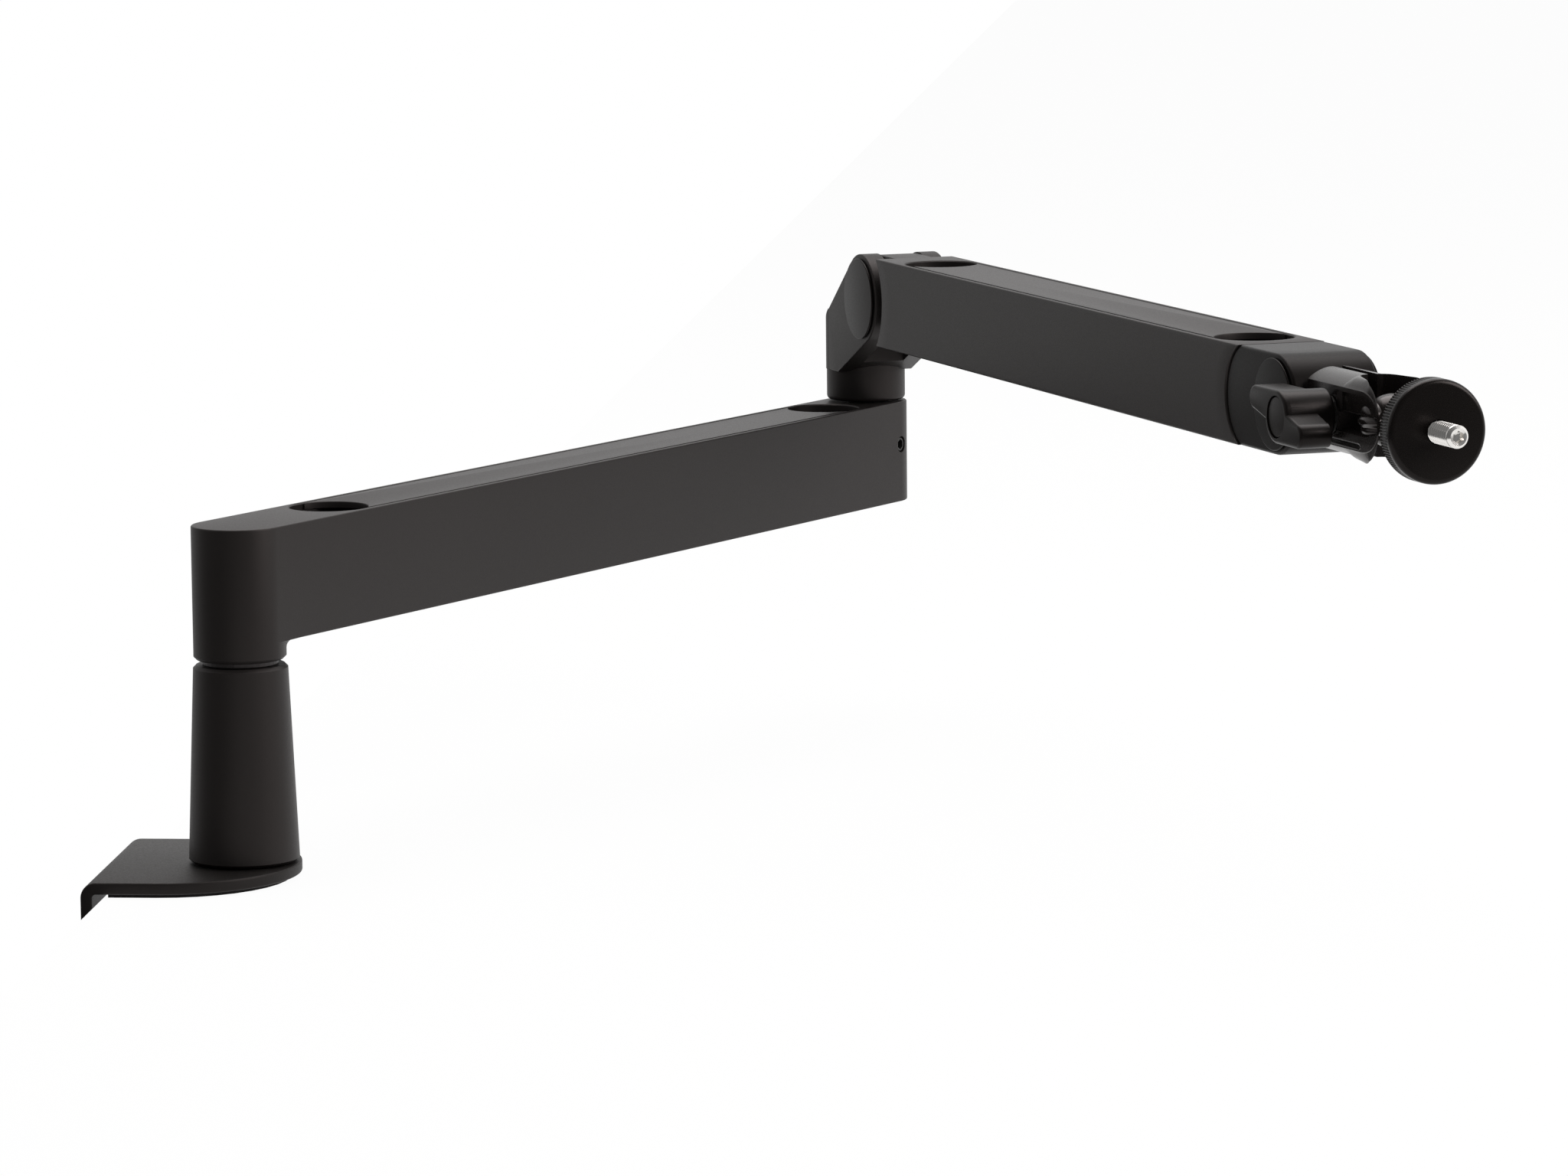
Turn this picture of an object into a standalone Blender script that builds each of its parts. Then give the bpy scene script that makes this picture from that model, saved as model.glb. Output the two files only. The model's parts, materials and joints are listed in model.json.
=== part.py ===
"""Low-profile boom arm for a microphone, clamped to the edge of a desk.

A bent steel clamp carries a tapered riser. A lower arm swivels on the riser, an elbow bracket
swivels on the lower arm, an upper arm tilts on the bracket, and a wrist with a ball head at its
tip holds a threaded stud for a microphone.

Frame: the origin is on the desk top under the riser, +Z is up, and +X runs from the desk's edge
inwards. Lengths are in metres.
"""
import math

import bmesh
import bpy
from mathutils import Euler, Matrix

MM = 0.001
WELD = 0.001 * MM        # points nearer than this are one point

# Clearances
SEAT = 0.3 * MM          # between two pieces that sit on each other
RUN = 0.5 * MM           # between two pieces that turn past each other
OVER = 2.0 * MM          # how far a cutter reaches past the face it opens

# Facets on round pieces
ROUND = 36
SMALL_ROUND = 16
FACET_SHIFT = 0.618      # share of one facet by which each cutter is turned on from the last

# Desk clamp
PAD_SHEET = 1.0 * MM
PLATE_THICK = 3.4 * MM
PLATE_WIDTH = 72.5 * MM
PLATE_EDGE = 0.35 * MM           # from the riser's foot to the plate's round end
LIP_BACK = 41.3 * MM             # from the riser's axis back to the clamp's outer face
BEND_RADIUS = 4.5 * MM           # outside of each bend
PAD_INSET = 3.0 * MM
DESK_LARGEST = 60.0 * MM
DESK_GRIPPED = 25.0 * MM         # desk thickness that the clamp is set to at rest
WEB_WIDTH = 44.0 * MM
WEB_SHOULDER = 12.0 * MM         # below the desk top, where the back web starts to narrow
WEB_TAPER = 28.0 * MM
JAW_REACH = 46.0 * MM            # from the clamp's outer face to the tip of the lower jaw

# Clamp screw
SCREW_BACK = 14.0 * MM           # from the riser's axis back to the screw's axis
SCREW_RADIUS = 4.0 * MM
SCREW_PITCH = 3.0 * MM
NUT_RADIUS = 8.0 * MM
NUT_FLANGE_RADIUS = 11.0 * MM
NUT_FLANGE = 2.0 * MM
NUT_BELOW = 8.0 * MM
FOOT_RADIUS = 17.0 * MM
FOOT_THICK = 5.0 * MM
FOOT_RUBBER = 2.0 * MM
FOOT_SOCKET = 2.5 * MM           # depth of the screw's seat in the foot
SCREW_SPARE = 10.0 * MM          # thread left between the nut and the knob when the foot is up
KNOB_RADIUS = 19.0 * MM
KNOB_HEIGHT = 16.0 * MM
KNOB_LOBES = 6
KNOB_LOBE_DEPTH = 2.2 * MM
KNOB_GRIP = 12.0 * MM            # length of the screw held in the knob

# Riser
RISER_FOOT_RADIUS = 16.0 * MM
RISER_TOP_RADIUS = 13.7 * MM
RISER_HEIGHT = 57.4 * MM
GROOVE_CHAMFER = 0.9 * MM
RISER_SCREW_RADIUS = 2.0 * MM
RISER_SCREW_HEAD = 4.0 * MM
RISER_SCREW_LENGTH = 14.0 * MM
RISER_SCREW_CIRCLE = 10.0 * MM
RISER_SCREWS = 3

# Swivel pins, bushes and washers
PIN_RADIUS = 6.0 * MM
BUSH_WALL = 1.7 * MM
POST_IN_RISER = 28.0 * MM
POST_IN_ARM = 26.0 * MM
THRUST_WASHER = 1.0 * MM
THRUST_WASHER_RADIUS = 11.0 * MM
SPIGOT_IN_ARM = 25.0 * MM
SPIGOT_IN_ELBOW = 19.0 * MM

# Lower arm
ARM_WIDTH = 27.0 * MM
LOWER_REACH = 360.0 * MM         # riser axis to elbow axis
LOWER_HEIGHT = 33.4 * MM
BOSS_HEIGHT = 5.4 * MM
BOSS_RADIUS = 13.3 * MM
BOSS_START = 1.0 * MM            # where the relief behind the boss begins
LOWER_YAW = math.radians(64.2)   # from the clamp's +X
CABLE_HOLE_RADIUS = 11.65 * MM
LOWER_HOLE_NEAR_RISER = 45.8 * MM
LOWER_HOLE_TO_ELBOW = 28.3 * MM
COVER_THICK = 1.9 * MM
COVER_SEAT_SHOULDER = 0.25 * MM  # from a cable hole's side in to the side of the covers' recess
CHANNEL_WIDTH = 19.3 * MM
LOWER_CHANNEL_DEPTH = 25.0 * MM
SET_SCREW_RADIUS = 2.0 * MM
SET_SCREW_BELOW_TOP = 14.3 * MM
SET_SCREW_SINK = 0.4 * MM
SET_SCREW_SOCKET = 1.15 * MM

# Elbow
ELBOW_YAW = math.radians(-130.0)  # from the lower arm
COLLAR_RADIUS = 13.3 * MM
COLLAR_ROUND = 1.4 * MM
CHEEK_HALF = 13.2 * MM           # outer face of each cheek from the bracket's middle plane
HINGE_REACH = 31.8 * MM          # elbow axis to tilt axis
HINGE_RISE = 37.0 * MM           # tilt axis above the lower arm's top
CHEEK_RADIUS = 14.7 * MM
BACK_SLOPE = math.radians(37.6)
FRONT_SLOPE = math.radians(24.1)
FORK_HALF = 7.0 * MM             # half the gap between the cheeks
HINGE_BOLT_RADIUS = 3.0 * MM
HINGE_HEAD_RADIUS = 5.2 * MM
HINGE_HEAD = 2.6 * MM
HINGE_NUT_CORNER = 5.8 * MM
HINGE_CAP_RADIUS = 13.2 * MM
CAP_THICK = 1.2 * MM
FRICTION_WASHER = 0.8 * MM
FRICTION_WASHER_RADIUS = 10.5 * MM
TONGUE_RADIUS = 12.0 * MM

# Upper arm, measured from the tilt axis
UPPER_HEIGHT = 28.5 * MM
ELBOW_SCALLOP_DEPTH = 6.5 * MM   # how far the hollow end at the elbow is larger than the arm's half height
WRIST_REACH = 320.4 * MM         # tilt axis to wrist axis
WRIST_SCALLOP_DEPTH = 1.3 * MM   # how far the hollow end at the wrist is larger than the arm's half height
UPPER_HOLE_NEAR_ELBOW = 40.0 * MM
UPPER_HOLE_TO_WRIST = 26.0 * MM
UPPER_CHANNEL_DEPTH = 21.0 * MM
PLUG_LENGTH = 10.5 * MM          # how far each end tongue sits in the arm
PLUG_WALL = 1.6 * MM             # between a tongue's seat and the cable channel
PLUG_HALF_HEIGHT = 5.6 * MM
PLUG_SCREW_RADIUS = 2.0 * MM
PLUG_SCREW_HEAD = 3.8 * MM
PLUG_SCREW_BITE = 5.0 * MM

# Wrist block, measured from the wrist axis
WRIST_BLOCK_HALF = 11.6 * MM
WRIST_FRONT = 19.1 * MM          # wrist axis to the cross bolt at the block's round front
WRIST_EYE_RADIUS = 9.0 * MM
WRIST_EYE_HALF = 4.5 * MM
WRIST_PIN_RADIUS = 2.5 * MM
WRIST_TILT = math.radians(40.0)
WRIST_CAP_RADIUS = 13.0 * MM
WRIST_CAP = 0.8 * MM             # how far each cap's rim stands out
WRIST_CAP_STUB = 9.5 * MM        # radius of the stub that holds a cap
WRIST_BOLT_RADIUS = 2.5 * MM
WRIST_HEAD_RADIUS = 4.4 * MM
WRIST_HEAD = 2.4 * MM
WRIST_NUT_CORNER = 4.9 * MM

# Ball head, measured from the wrist axis
CLAMP_HALF_WIDTH = 9.0 * MM
CLAMP_HALF_HEIGHT = 11.2 * MM
CLAMP_CORNER = 6.0 * MM
CLAMP_FRONT = 78.5 * MM
CLAMP_NOSE = 8.7 * MM            # rounding of the jaws' tips
CLAMP_SLOT_HALF = 1.4 * MM
CLAMP_SLOT_START = 38.0 * MM
CLAMP_GAPE_HALF = 5.0 * MM       # half the wider gap from the ball to the jaws' tips
CLAMP_GAPE_START = 58.0 * MM
CLAMP_BOLT_AT = 48.2 * MM
CLAMP_BOLT_RADIUS = 2.5 * MM
CLAMP_POCKET_HALF = 5.7 * MM
CLAMP_POCKET_DEPTH = 3.0 * MM
CLAMP_POCKET_START = 55.5 * MM
CLAMP_NUT_RADIUS = 4.6 * MM
CLAMP_NUT = 3.0 * MM
SHANK_HALF_WIDTH = 5.0 * MM
SHANK_HALF_HEIGHT = 5.0 * MM
SHANK_LENGTH = 21.0 * MM
BALL_AT = 69.0 * MM
BALL_RADIUS = 7.5 * MM
NECK_RADIUS = 4.2 * MM
DISC_FACE = 99.0 * MM
DISC_THICK = 7.0 * MM
DISC_RADIUS = 14.35 * MM
DISC_CHAMFER = 1.0 * MM
STUD_RADIUS = 3.175 * MM         # quarter-inch thread
STUD_LENGTH = 12.7 * MM
STUD_IN_NECK = 8.0 * MM
STUD_CHAMFER = 0.7 * MM
STUD_SOCKET = 1.6 * MM
STUD_SOCKET_DEPTH = 2.5 * MM

# Wing knob on the clamp bolt
WING_WASHER = 1.0 * MM
WING_WASHER_RADIUS = 5.5 * MM
WING_DEPTH = 13.7 * MM
WING_BLADE = 10.8 * MM           # depth of the wings; the rest is a round collar
WING_HUB = 7.0 * MM
WING_BACK = 18.4 * MM
WING_FRONT = 17.2 * MM
WING_INNER_EDGE = 1.2 * MM       # how far each wing crosses the hub's middle line
WING_CAP_RADIUS = 5.3 * MM
WING_BOLT_GRIP = 9.0 * MM

# Levels above the desk top
PLATE_UNDER = PAD_SHEET + SEAT
PLATE_TOP = PLATE_UNDER + PLATE_THICK
RISER_UNDER = PLATE_TOP + SEAT
RISER_TOP = RISER_UNDER + RISER_HEIGHT
BOSS_UNDER = RISER_TOP + THRUST_WASHER + 2 * SEAT
LOWER_UNDER = BOSS_UNDER + BOSS_HEIGHT
LOWER_TOP = LOWER_UNDER + LOWER_HEIGHT
COLLAR_UNDER = LOWER_TOP + RUN
HINGE_LEVEL = LOWER_TOP + HINGE_RISE
JAW_TOP = -(DESK_LARGEST + FOOT_THICK + FOOT_RUBBER + NUT_FLANGE + 2 * SEAT)
JAW_UNDER = JAW_TOP - PLATE_THICK
FOOT_TOP = -DESK_GRIPPED
FOOT_UNDER = FOOT_TOP - FOOT_RUBBER - SEAT - FOOT_THICK

HALF_ARM = ARM_WIDTH / 2
HALF_UPPER = UPPER_HEIGHT / 2
PLATE_ARC_BACK = PLATE_WIDTH / 2 - RISER_FOOT_RADIUS - PLATE_EDGE   # centre of the plate's round end
ELBOW_SCALLOP = HALF_UPPER + ELBOW_SCALLOP_DEPTH
WRIST_SCALLOP = HALF_UPPER + WRIST_SCALLOP_DEPTH
COVER_SEAT_HALF = CABLE_HOLE_RADIUS - COVER_SEAT_SHOULDER
UPPER_HOLE_DEPTH = HALF_UPPER - PLUG_HALF_HEIGHT - SEAT - PLUG_WALL   # down to the wall over an end tongue
COVER_RECESS = COVER_THICK + SEAT
BUSH_RADIUS = PIN_RADIUS + SEAT + BUSH_WALL
BORE_RADIUS = BUSH_RADIUS + SEAT

PARTS = bpy.data.collections.new("boom_microphone_arm")
CUTTERS = bpy.data.collections.new("cutters")


def clear_scene():
    """Remove what the file opened with and link the two collections."""
    for thing in list(bpy.data.objects):
        bpy.data.objects.remove(thing, do_unlink=True)
    for group in (PARTS, CUTTERS):
        bpy.context.scene.collection.children.link(group)


def finish(name, colour, roughness, metallic):
    """A Principled material."""
    made = bpy.data.materials.new(name)
    made.use_nodes = True
    shader = made.node_tree.nodes["Principled BSDF"]
    shader.inputs["Base Color"].default_value = (*colour, 1.0)
    shader.inputs["Roughness"].default_value = roughness
    shader.inputs["Metallic"].default_value = metallic
    return made


# Outlines

def arc(centre, radius, start, end, steps):
    """Points on an arc, both ends included; angles in degrees."""
    points = []
    for k in range(steps + 1):
        angle = math.radians(start + (end - start) * k / steps)
        points.append((centre[0] + radius * math.cos(angle), centre[1] + radius * math.sin(angle)))
    return points


def stadium(start, end, radius):
    """A slot with round ends along the first axis."""
    half = ROUND // 2
    return arc((end, 0), radius, -90, 90, half) + arc((start, 0), radius, 90, 270, half)


def rectangle(x_low, x_high, y_low, y_high):
    return [(x_low, y_low), (x_high, y_low), (x_high, y_high), (x_low, y_high)]


def hexagon(radius):
    return arc((0, 0), radius, 0, 300, 5)


def rounded_rectangle(half_width, half_height, radius):
    """A rectangle about the middle with round corners."""
    steps = SMALL_ROUND // 4
    x, y = half_width - radius, half_height - radius
    corners = ((x, y, 0), (-x, y, 90), (-x, -y, 180), (x, -y, 270))
    points = []
    for cx, cy, start in corners:
        points += arc((cx, cy), radius, start, start + 90, steps)
    return points


# Solids

def add(mesh, name, parent, group, material=None):
    """Put a mesh in the scene as one object in its parent's frame."""
    thing = bpy.data.objects.new(name, mesh)
    group.objects.link(thing)
    thing.parent = parent
    if group is CUTTERS:
        thing.hide_render = True
        thing.display_type = "WIRE"
    else:
        mesh.materials.clear()
        mesh.materials.append(material)
    return thing


PLANES = {
    "XY": Matrix.Identity(4),
    "XZ": Matrix.Rotation(math.radians(90), 4, "X"),
    "YZ": Matrix(((0, 0, 1, 0), (1, 0, 0, 0), (0, 1, 0, 0), (0, 0, 0, 1))),
}
PLANE_NORMAL = {"XY": (0, 0, 1), "XZ": (0, 1, 0), "YZ": (1, 0, 0)}


def prism_mesh(outline, low, high, plane):
    """A flat outline in one plane, filled and drawn out from low to high along the plane's normal."""
    curve = bpy.data.curves.new("outline", "CURVE")
    curve.dimensions = "2D"
    curve.fill_mode = "BOTH"
    curve.extrude = (high - low) / 2
    spline = curve.splines.new("POLY")
    spline.points.add(len(outline) - 1)
    for point, (x, y) in zip(spline.points, outline):
        point.co = (x, y, 0, 1)
    spline.use_cyclic_u = True
    holder = bpy.data.objects.new("outline", curve)
    bpy.context.scene.collection.objects.link(holder)
    drawn = holder.evaluated_get(bpy.context.evaluated_depsgraph_get())
    mesh = bpy.data.meshes.new_from_object(drawn)
    bpy.data.objects.remove(holder, do_unlink=True)
    middle = (low + high) / 2
    shift = Matrix.Translation([middle * n for n in PLANE_NORMAL[plane]])
    work = bmesh.new()
    work.from_mesh(mesh)
    bmesh.ops.remove_doubles(work, verts=work.verts, dist=WELD)
    bmesh.ops.transform(work, matrix=shift @ PLANES[plane], verts=work.verts)
    bmesh.ops.recalc_face_normals(work, faces=work.faces)
    work.to_mesh(mesh)
    work.free()
    return mesh


def turned_mesh(profile):
    """An open or closed run of (radius, height) points, outer side from top to bottom."""
    mesh = bpy.data.meshes.new("profile")
    closed = profile[0][0] > 0
    edges = [(k, k + 1) for k in range(len(profile) - 1)]
    if closed:
        edges.append((len(profile) - 1, 0))
    mesh.from_pydata([(r, 0, h) for r, h in profile], edges, [])
    return mesh


def spin(thing, steps):
    """Turn the object's profile about its own Z axis."""
    screw = thing.modifiers.new("turn", "SCREW")
    screw.axis = "Z"
    screw.steps = steps
    screw.render_steps = steps
    screw.use_merge_vertices = True
    screw.merge_threshold = WELD
    screw.use_smooth_shade = True


TURN = {"Z": (0, 0, 0), "X": (0, math.radians(90), 0), "Y": (math.radians(-90), 0, 0)}


def prism(name, parent, material, outline, low, high, plane):
    return add(prism_mesh(outline, low, high, plane), name, parent, PARTS, material)


def turned(name, parent, material, profile, axis="Z", place=(0, 0, 0), steps=ROUND):
    """A turned piece whose profile's height runs along the given axis of its parent."""
    thing = add(turned_mesh(profile), name, parent, PARTS, material)
    thing.location = place
    thing.rotation_euler = TURN[axis]
    spin(thing, steps)
    return thing


def pair(name, parent, material, profile, place, steps):
    """The same turned piece on both sides of the middle plane."""
    mirrored = [(radius, -height) for radius, height in reversed(profile)]
    turned(name + "_far", parent, material, profile, "Y", place, steps)
    turned(name + "_near", parent, material, mirrored, "Y", place, steps)


def tube(inner, outer, low, high):
    """The profile of a plain ring."""
    return [(outer, high), (outer, low), (inner, low), (inner, high)]


def rod(radius, low, high, chamfer=0.0):
    """The profile of a plain rod, with an optional chamfer at its top."""
    if chamfer:
        return [(0, high), (radius - chamfer, high), (radius, high - chamfer), (radius, low), (0, low)]
    return [(0, high), (radius, high), (radius, low), (0, low)]


def apply_boolean(thing, tool, operation):
    step = thing.modifiers.new(tool.name, "BOOLEAN")
    step.operation = operation
    step.solver = "EXACT"
    step.object = tool


def cut_prism(thing, name, outline, low, high, plane, operation="DIFFERENCE"):
    tool = add(prism_mesh(outline, low, high, plane), name, thing.parent, CUTTERS)
    apply_boolean(thing, tool, operation)


def turned_tool(name, parent, profile, axis, place, steps):
    """A turned cutter; each is turned a little on its own axis so that no two share a facet line."""
    tool = add(turned_mesh(profile), name, parent, CUTTERS)
    phase = math.tau / steps * (len(CUTTERS.objects) * FACET_SHIFT % 1.0)
    turn = Euler(TURN[axis]).to_matrix().to_4x4()
    tool.matrix_basis = Matrix.Translation(place) @ turn @ Matrix.Rotation(phase, 4, "Z")
    spin(tool, steps)
    return tool


def cut_turned(thing, name, profile, axis="Z", place=(0, 0, 0), steps=SMALL_ROUND):
    tool = turned_tool(name, thing.parent, profile, axis, place, steps)
    apply_boolean(thing, tool, "DIFFERENCE")


def cut_round(thing, name, radius, low, high, axis="Z", place=(0, 0, 0), steps=ROUND):
    cut_turned(thing, name, rod(radius, low, high), axis, place, steps)


def joined(meshes):
    """One mesh of several separate bodies."""
    work = bmesh.new()
    for mesh in meshes:
        work.from_mesh(mesh)
        bpy.data.meshes.remove(mesh)
    made = bpy.data.meshes.new("bodies")
    work.to_mesh(made)
    work.free()
    return made


def cut_bodies(thing, name, meshes):
    """Cut several separate bodies out in one step."""
    apply_boolean(thing, add(joined(meshes), name, thing.parent, CUTTERS), "DIFFERENCE")


def round_mesh(profile, steps, matrix):
    """A turned body as a plain mesh, moved by a matrix."""
    work = bmesh.new()
    previous = [work.verts.new((r, 0, h)) for r, h in profile]
    edges = [work.edges.new(pair) for pair in zip(previous, previous[1:])]
    if profile[0][0] > 0:
        edges.append(work.edges.new((previous[-1], previous[0])))
    bmesh.ops.spin(work, geom=previous + edges, axis=(0, 0, 1), cent=(0, 0, 0),
                   steps=steps, angle=math.tau, use_merge=True)
    bmesh.ops.remove_doubles(work, verts=work.verts, dist=WELD)
    bmesh.ops.recalc_face_normals(work, faces=work.faces)
    bmesh.ops.transform(work, matrix=matrix, verts=work.verts)
    mesh = bpy.data.meshes.new("round")
    work.to_mesh(mesh)
    work.free()
    return mesh


def bodies_at(profile, places, steps=SMALL_ROUND):
    """The same upright turned body at several places."""
    bodies = []
    for k, (x, y) in enumerate(places):
        phase = Matrix.Rotation(math.tau / steps * ((k + 1) * FACET_SHIFT % 1.0), 4, "Z")
        bodies.append(round_mesh(profile, steps, Matrix.Translation((x, y, 0)) @ phase))
    return bodies


def cross_bore(steps_from_middle):
    """The profile of a bore with the same steps at both ends, as (radius, reach) from the widest in."""
    upper = []
    for radius, reach in steps_from_middle:
        upper.append((radius, reach))
    high = [(0, upper[0][1])]
    for k, (radius, reach) in enumerate(upper):
        high.append((radius, reach))
        if k + 1 < len(upper):
            high.append((radius, upper[k + 1][1]))
    low = [(radius, -height) for radius, height in reversed(high)]
    return high + low


def pivot(name, parent, place, yaw=0.0):
    """An empty on a joint's axis."""
    marker = bpy.data.objects.new(name, None)
    PARTS.objects.link(marker)
    marker.empty_display_size = 10 * MM
    marker.parent = parent
    marker.location = place
    marker.rotation_euler = (0, 0, yaw)
    return marker


clear_scene()

BLACK_STEEL = finish("black_steel", (0.030, 0.029, 0.028), 0.45, 0.6)
BLACK_ARM = finish("black_arm", (0.040, 0.038, 0.037), 0.50, 0.5)
BLACK_CAST = finish("black_cast", (0.022, 0.021, 0.021), 0.38, 0.3)
BLACK_PLASTIC = finish("black_plastic", (0.026, 0.025, 0.025), 0.55, 0.0)
BEARING_PLASTIC = finish("bearing_plastic", (0.55, 0.54, 0.50), 0.50, 0.0)
DARK_RUBBER = finish("dark_rubber", (0.018, 0.018, 0.018), 0.85, 0.0)
PLAIN_STEEL = finish("plain_steel", (0.62, 0.61, 0.60), 0.32, 1.0)
BRIGHT_STUD = finish("bright_stud", (0.80, 0.79, 0.77), 0.22, 1.0)

clamp_axis = pivot("clamp_axis", None, (-SCREW_BACK, 0, 0))
base_axis = pivot("base_axis", None, (0, 0, 0), LOWER_YAW)
elbow_axis = pivot("elbow_axis", base_axis, (LOWER_REACH, 0, 0), ELBOW_YAW)
tilt_axis = pivot("tilt_axis", elbow_axis, (HINGE_REACH, 0, HINGE_LEVEL))
wrist_axis = pivot("wrist_axis", tilt_axis, (WRIST_REACH, 0, 0))
wing_axis = pivot("wing_axis", wrist_axis, (CLAMP_BOLT_AT, 0, 0))
ball_axis = pivot("ball_axis", wrist_axis, (BALL_AT, 0, 0))


# Desk clamp

def riser_screw_places():
    for k in range(RISER_SCREWS):
        angle = math.tau * k / RISER_SCREWS
        yield RISER_SCREW_CIRCLE * math.cos(angle), RISER_SCREW_CIRCLE * math.sin(angle)


def countersunk(shank, head, under, tip, slack=0.0):
    """A countersunk screw, head down at the height under, with a tip above."""
    return [(0, tip), (shank + slack, tip), (shank + slack, under + head - shank),
            (head + slack, under), (0, under)]


def make_clamp_bracket():
    """A bent strap: round-ended top plate, back web that narrows, and lower jaw."""
    inner = BEND_RADIUS - PLATE_THICK
    left, far = -LIP_BACK, PLATE_WIDTH
    turn = SMALL_ROUND // 4
    strap = [(far, PLATE_TOP)]
    strap += arc((left + BEND_RADIUS, PLATE_TOP - BEND_RADIUS), BEND_RADIUS, 90, 180, turn)
    strap += arc((left + BEND_RADIUS, JAW_UNDER + BEND_RADIUS), BEND_RADIUS, 180, 270, turn)
    strap += [(left + JAW_REACH, JAW_UNDER), (left + JAW_REACH, JAW_TOP)]
    strap += arc((left + BEND_RADIUS, JAW_TOP + inner), inner, 270, 180, turn)
    strap += arc((left + BEND_RADIUS, PLATE_UNDER - inner), inner, 180, 90, turn)
    strap += [(far, PLATE_UNDER)]
    half = PLATE_WIDTH / 2
    bracket = prism("clamp_bracket", None, BLACK_STEEL, strap, -half - OVER, half + OVER, "XZ")

    plan = arc((-PLATE_ARC_BACK, 0), half, -90, 90, ROUND // 2)
    plan += [(left - OVER, half), (left - OVER, -half)]
    cut_prism(bracket, "plate_plan", plan, JAW_UNDER - OVER, PLATE_TOP + OVER, "XY", "INTERSECT")

    narrow = WEB_WIDTH / 2
    for side, label in ((1, "left"), (-1, "right")):
        edge = side * (half + OVER)
        flank = [(edge, -WEB_SHOULDER), (side * half, -WEB_SHOULDER),
                 (side * narrow, -WEB_SHOULDER - WEB_TAPER), (side * narrow, JAW_UNDER - OVER),
                 (edge, JAW_UNDER - OVER)]
        cut_prism(bracket, "web_flank_" + label, flank, left - OVER, left + JAW_REACH + OVER, "YZ")

    seat = countersunk(RISER_SCREW_RADIUS, RISER_SCREW_HEAD, PLATE_UNDER, PLATE_TOP + OVER, SEAT)
    seat = seat[:-1] + [(RISER_SCREW_HEAD + SEAT, PLATE_UNDER - OVER), (0, PLATE_UNDER - OVER)]
    cut_bodies(bracket, "riser_screw_holes", bodies_at(seat, riser_screw_places()))
    cut_round(bracket, "nut_hole", NUT_RADIUS + SEAT, JAW_UNDER - OVER, JAW_TOP + OVER,
              place=(-SCREW_BACK, 0, 0))


def make_desk_pad():
    """A thin soft sheet glued under the top plate."""
    half = PLATE_WIDTH / 2 - PAD_INSET
    back = -LIP_BACK + BEND_RADIUS + PAD_INSET
    plan = arc((-PLATE_ARC_BACK, 0), half, -90, 90, ROUND // 2) + [(back, half), (back, -half)]
    prism("desk_pad", None, DARK_RUBBER, plan, 0, PAD_SHEET, "XY")


def make_clamp_nut():
    """A flanged nut pressed through the lower jaw."""
    bore = SCREW_RADIUS + SEAT
    flange_top = JAW_TOP + SEAT + NUT_FLANGE
    bottom = JAW_UNDER - NUT_BELOW
    profile = [(NUT_FLANGE_RADIUS, flange_top), (NUT_FLANGE_RADIUS, JAW_TOP + SEAT),
               (NUT_RADIUS, JAW_TOP + SEAT), (NUT_RADIUS, bottom), (bore, bottom), (bore, flange_top)]
    turned("clamp_nut", clamp_axis, PLAIN_STEEL, profile, steps=SMALL_ROUND)


def screw_end():
    """Height of the lower end of the clamp screw at rest."""
    lift = DESK_GRIPPED
    return JAW_UNDER - NUT_BELOW - SCREW_SPARE - KNOB_GRIP - lift


def make_clamp_screw():
    top = FOOT_UNDER + FOOT_SOCKET - SEAT
    turned("clamp_screw", clamp_axis, PLAIN_STEEL, rod(SCREW_RADIUS, screw_end(), top, 0.6 * MM),
           steps=SMALL_ROUND)


def make_clamp_foot():
    """The swivel foot on the screw's end, with its rubber face."""
    seat = SCREW_RADIUS + SEAT
    top = FOOT_UNDER + FOOT_THICK
    neck = FOOT_RADIUS / 2
    profile = [(0, top), (FOOT_RADIUS, top), (FOOT_RADIUS, top - FOOT_THICK / 3), (neck, FOOT_UNDER),
               (seat, FOOT_UNDER), (seat, FOOT_UNDER + FOOT_SOCKET), (0, FOOT_UNDER + FOOT_SOCKET)]
    turned("clamp_foot", clamp_axis, BLACK_STEEL, profile)
    turned("clamp_foot_rubber", clamp_axis, DARK_RUBBER,
           rod(FOOT_RADIUS, FOOT_TOP - FOOT_RUBBER, FOOT_TOP))


def make_clamp_knob():
    """A lobed hand knob on the screw's lower end."""
    points = []
    count = KNOB_LOBES * 12
    middle = KNOB_RADIUS - KNOB_LOBE_DEPTH / 2
    for k in range(count):
        angle = math.tau * k / count
        radius = middle + KNOB_LOBE_DEPTH / 2 * math.cos(KNOB_LOBES * angle)
        points.append((radius * math.cos(angle), radius * math.sin(angle)))
    top = screw_end() + KNOB_GRIP
    knob = prism("clamp_knob", clamp_axis, BLACK_PLASTIC, points, top - KNOB_HEIGHT, top, "XY")
    cut_round(knob, "clamp_knob_bore", SCREW_RADIUS + SEAT, screw_end() - SEAT, top + OVER,
              steps=SMALL_ROUND)


# Riser

def make_riser():
    """A tapered column with a blind bore for the swivel post and tapped holes for its screws."""
    bore = PIN_RADIUS + SEAT
    floor = RISER_TOP - POST_IN_RISER
    profile = [(0, floor), (bore, floor), (bore, RISER_TOP), (RISER_TOP_RADIUS - GROOVE_CHAMFER, RISER_TOP),
               (RISER_TOP_RADIUS, RISER_TOP - GROOVE_CHAMFER), (RISER_FOOT_RADIUS, RISER_UNDER),
               (0, RISER_UNDER)]
    riser = turned("riser_column", None, BLACK_ARM, profile)
    tapping = rod(RISER_SCREW_RADIUS + SEAT, RISER_UNDER - OVER, PLATE_UNDER + RISER_SCREW_LENGTH + SEAT)
    cut_bodies(riser, "riser_tappings", bodies_at(tapping, riser_screw_places()))


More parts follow.
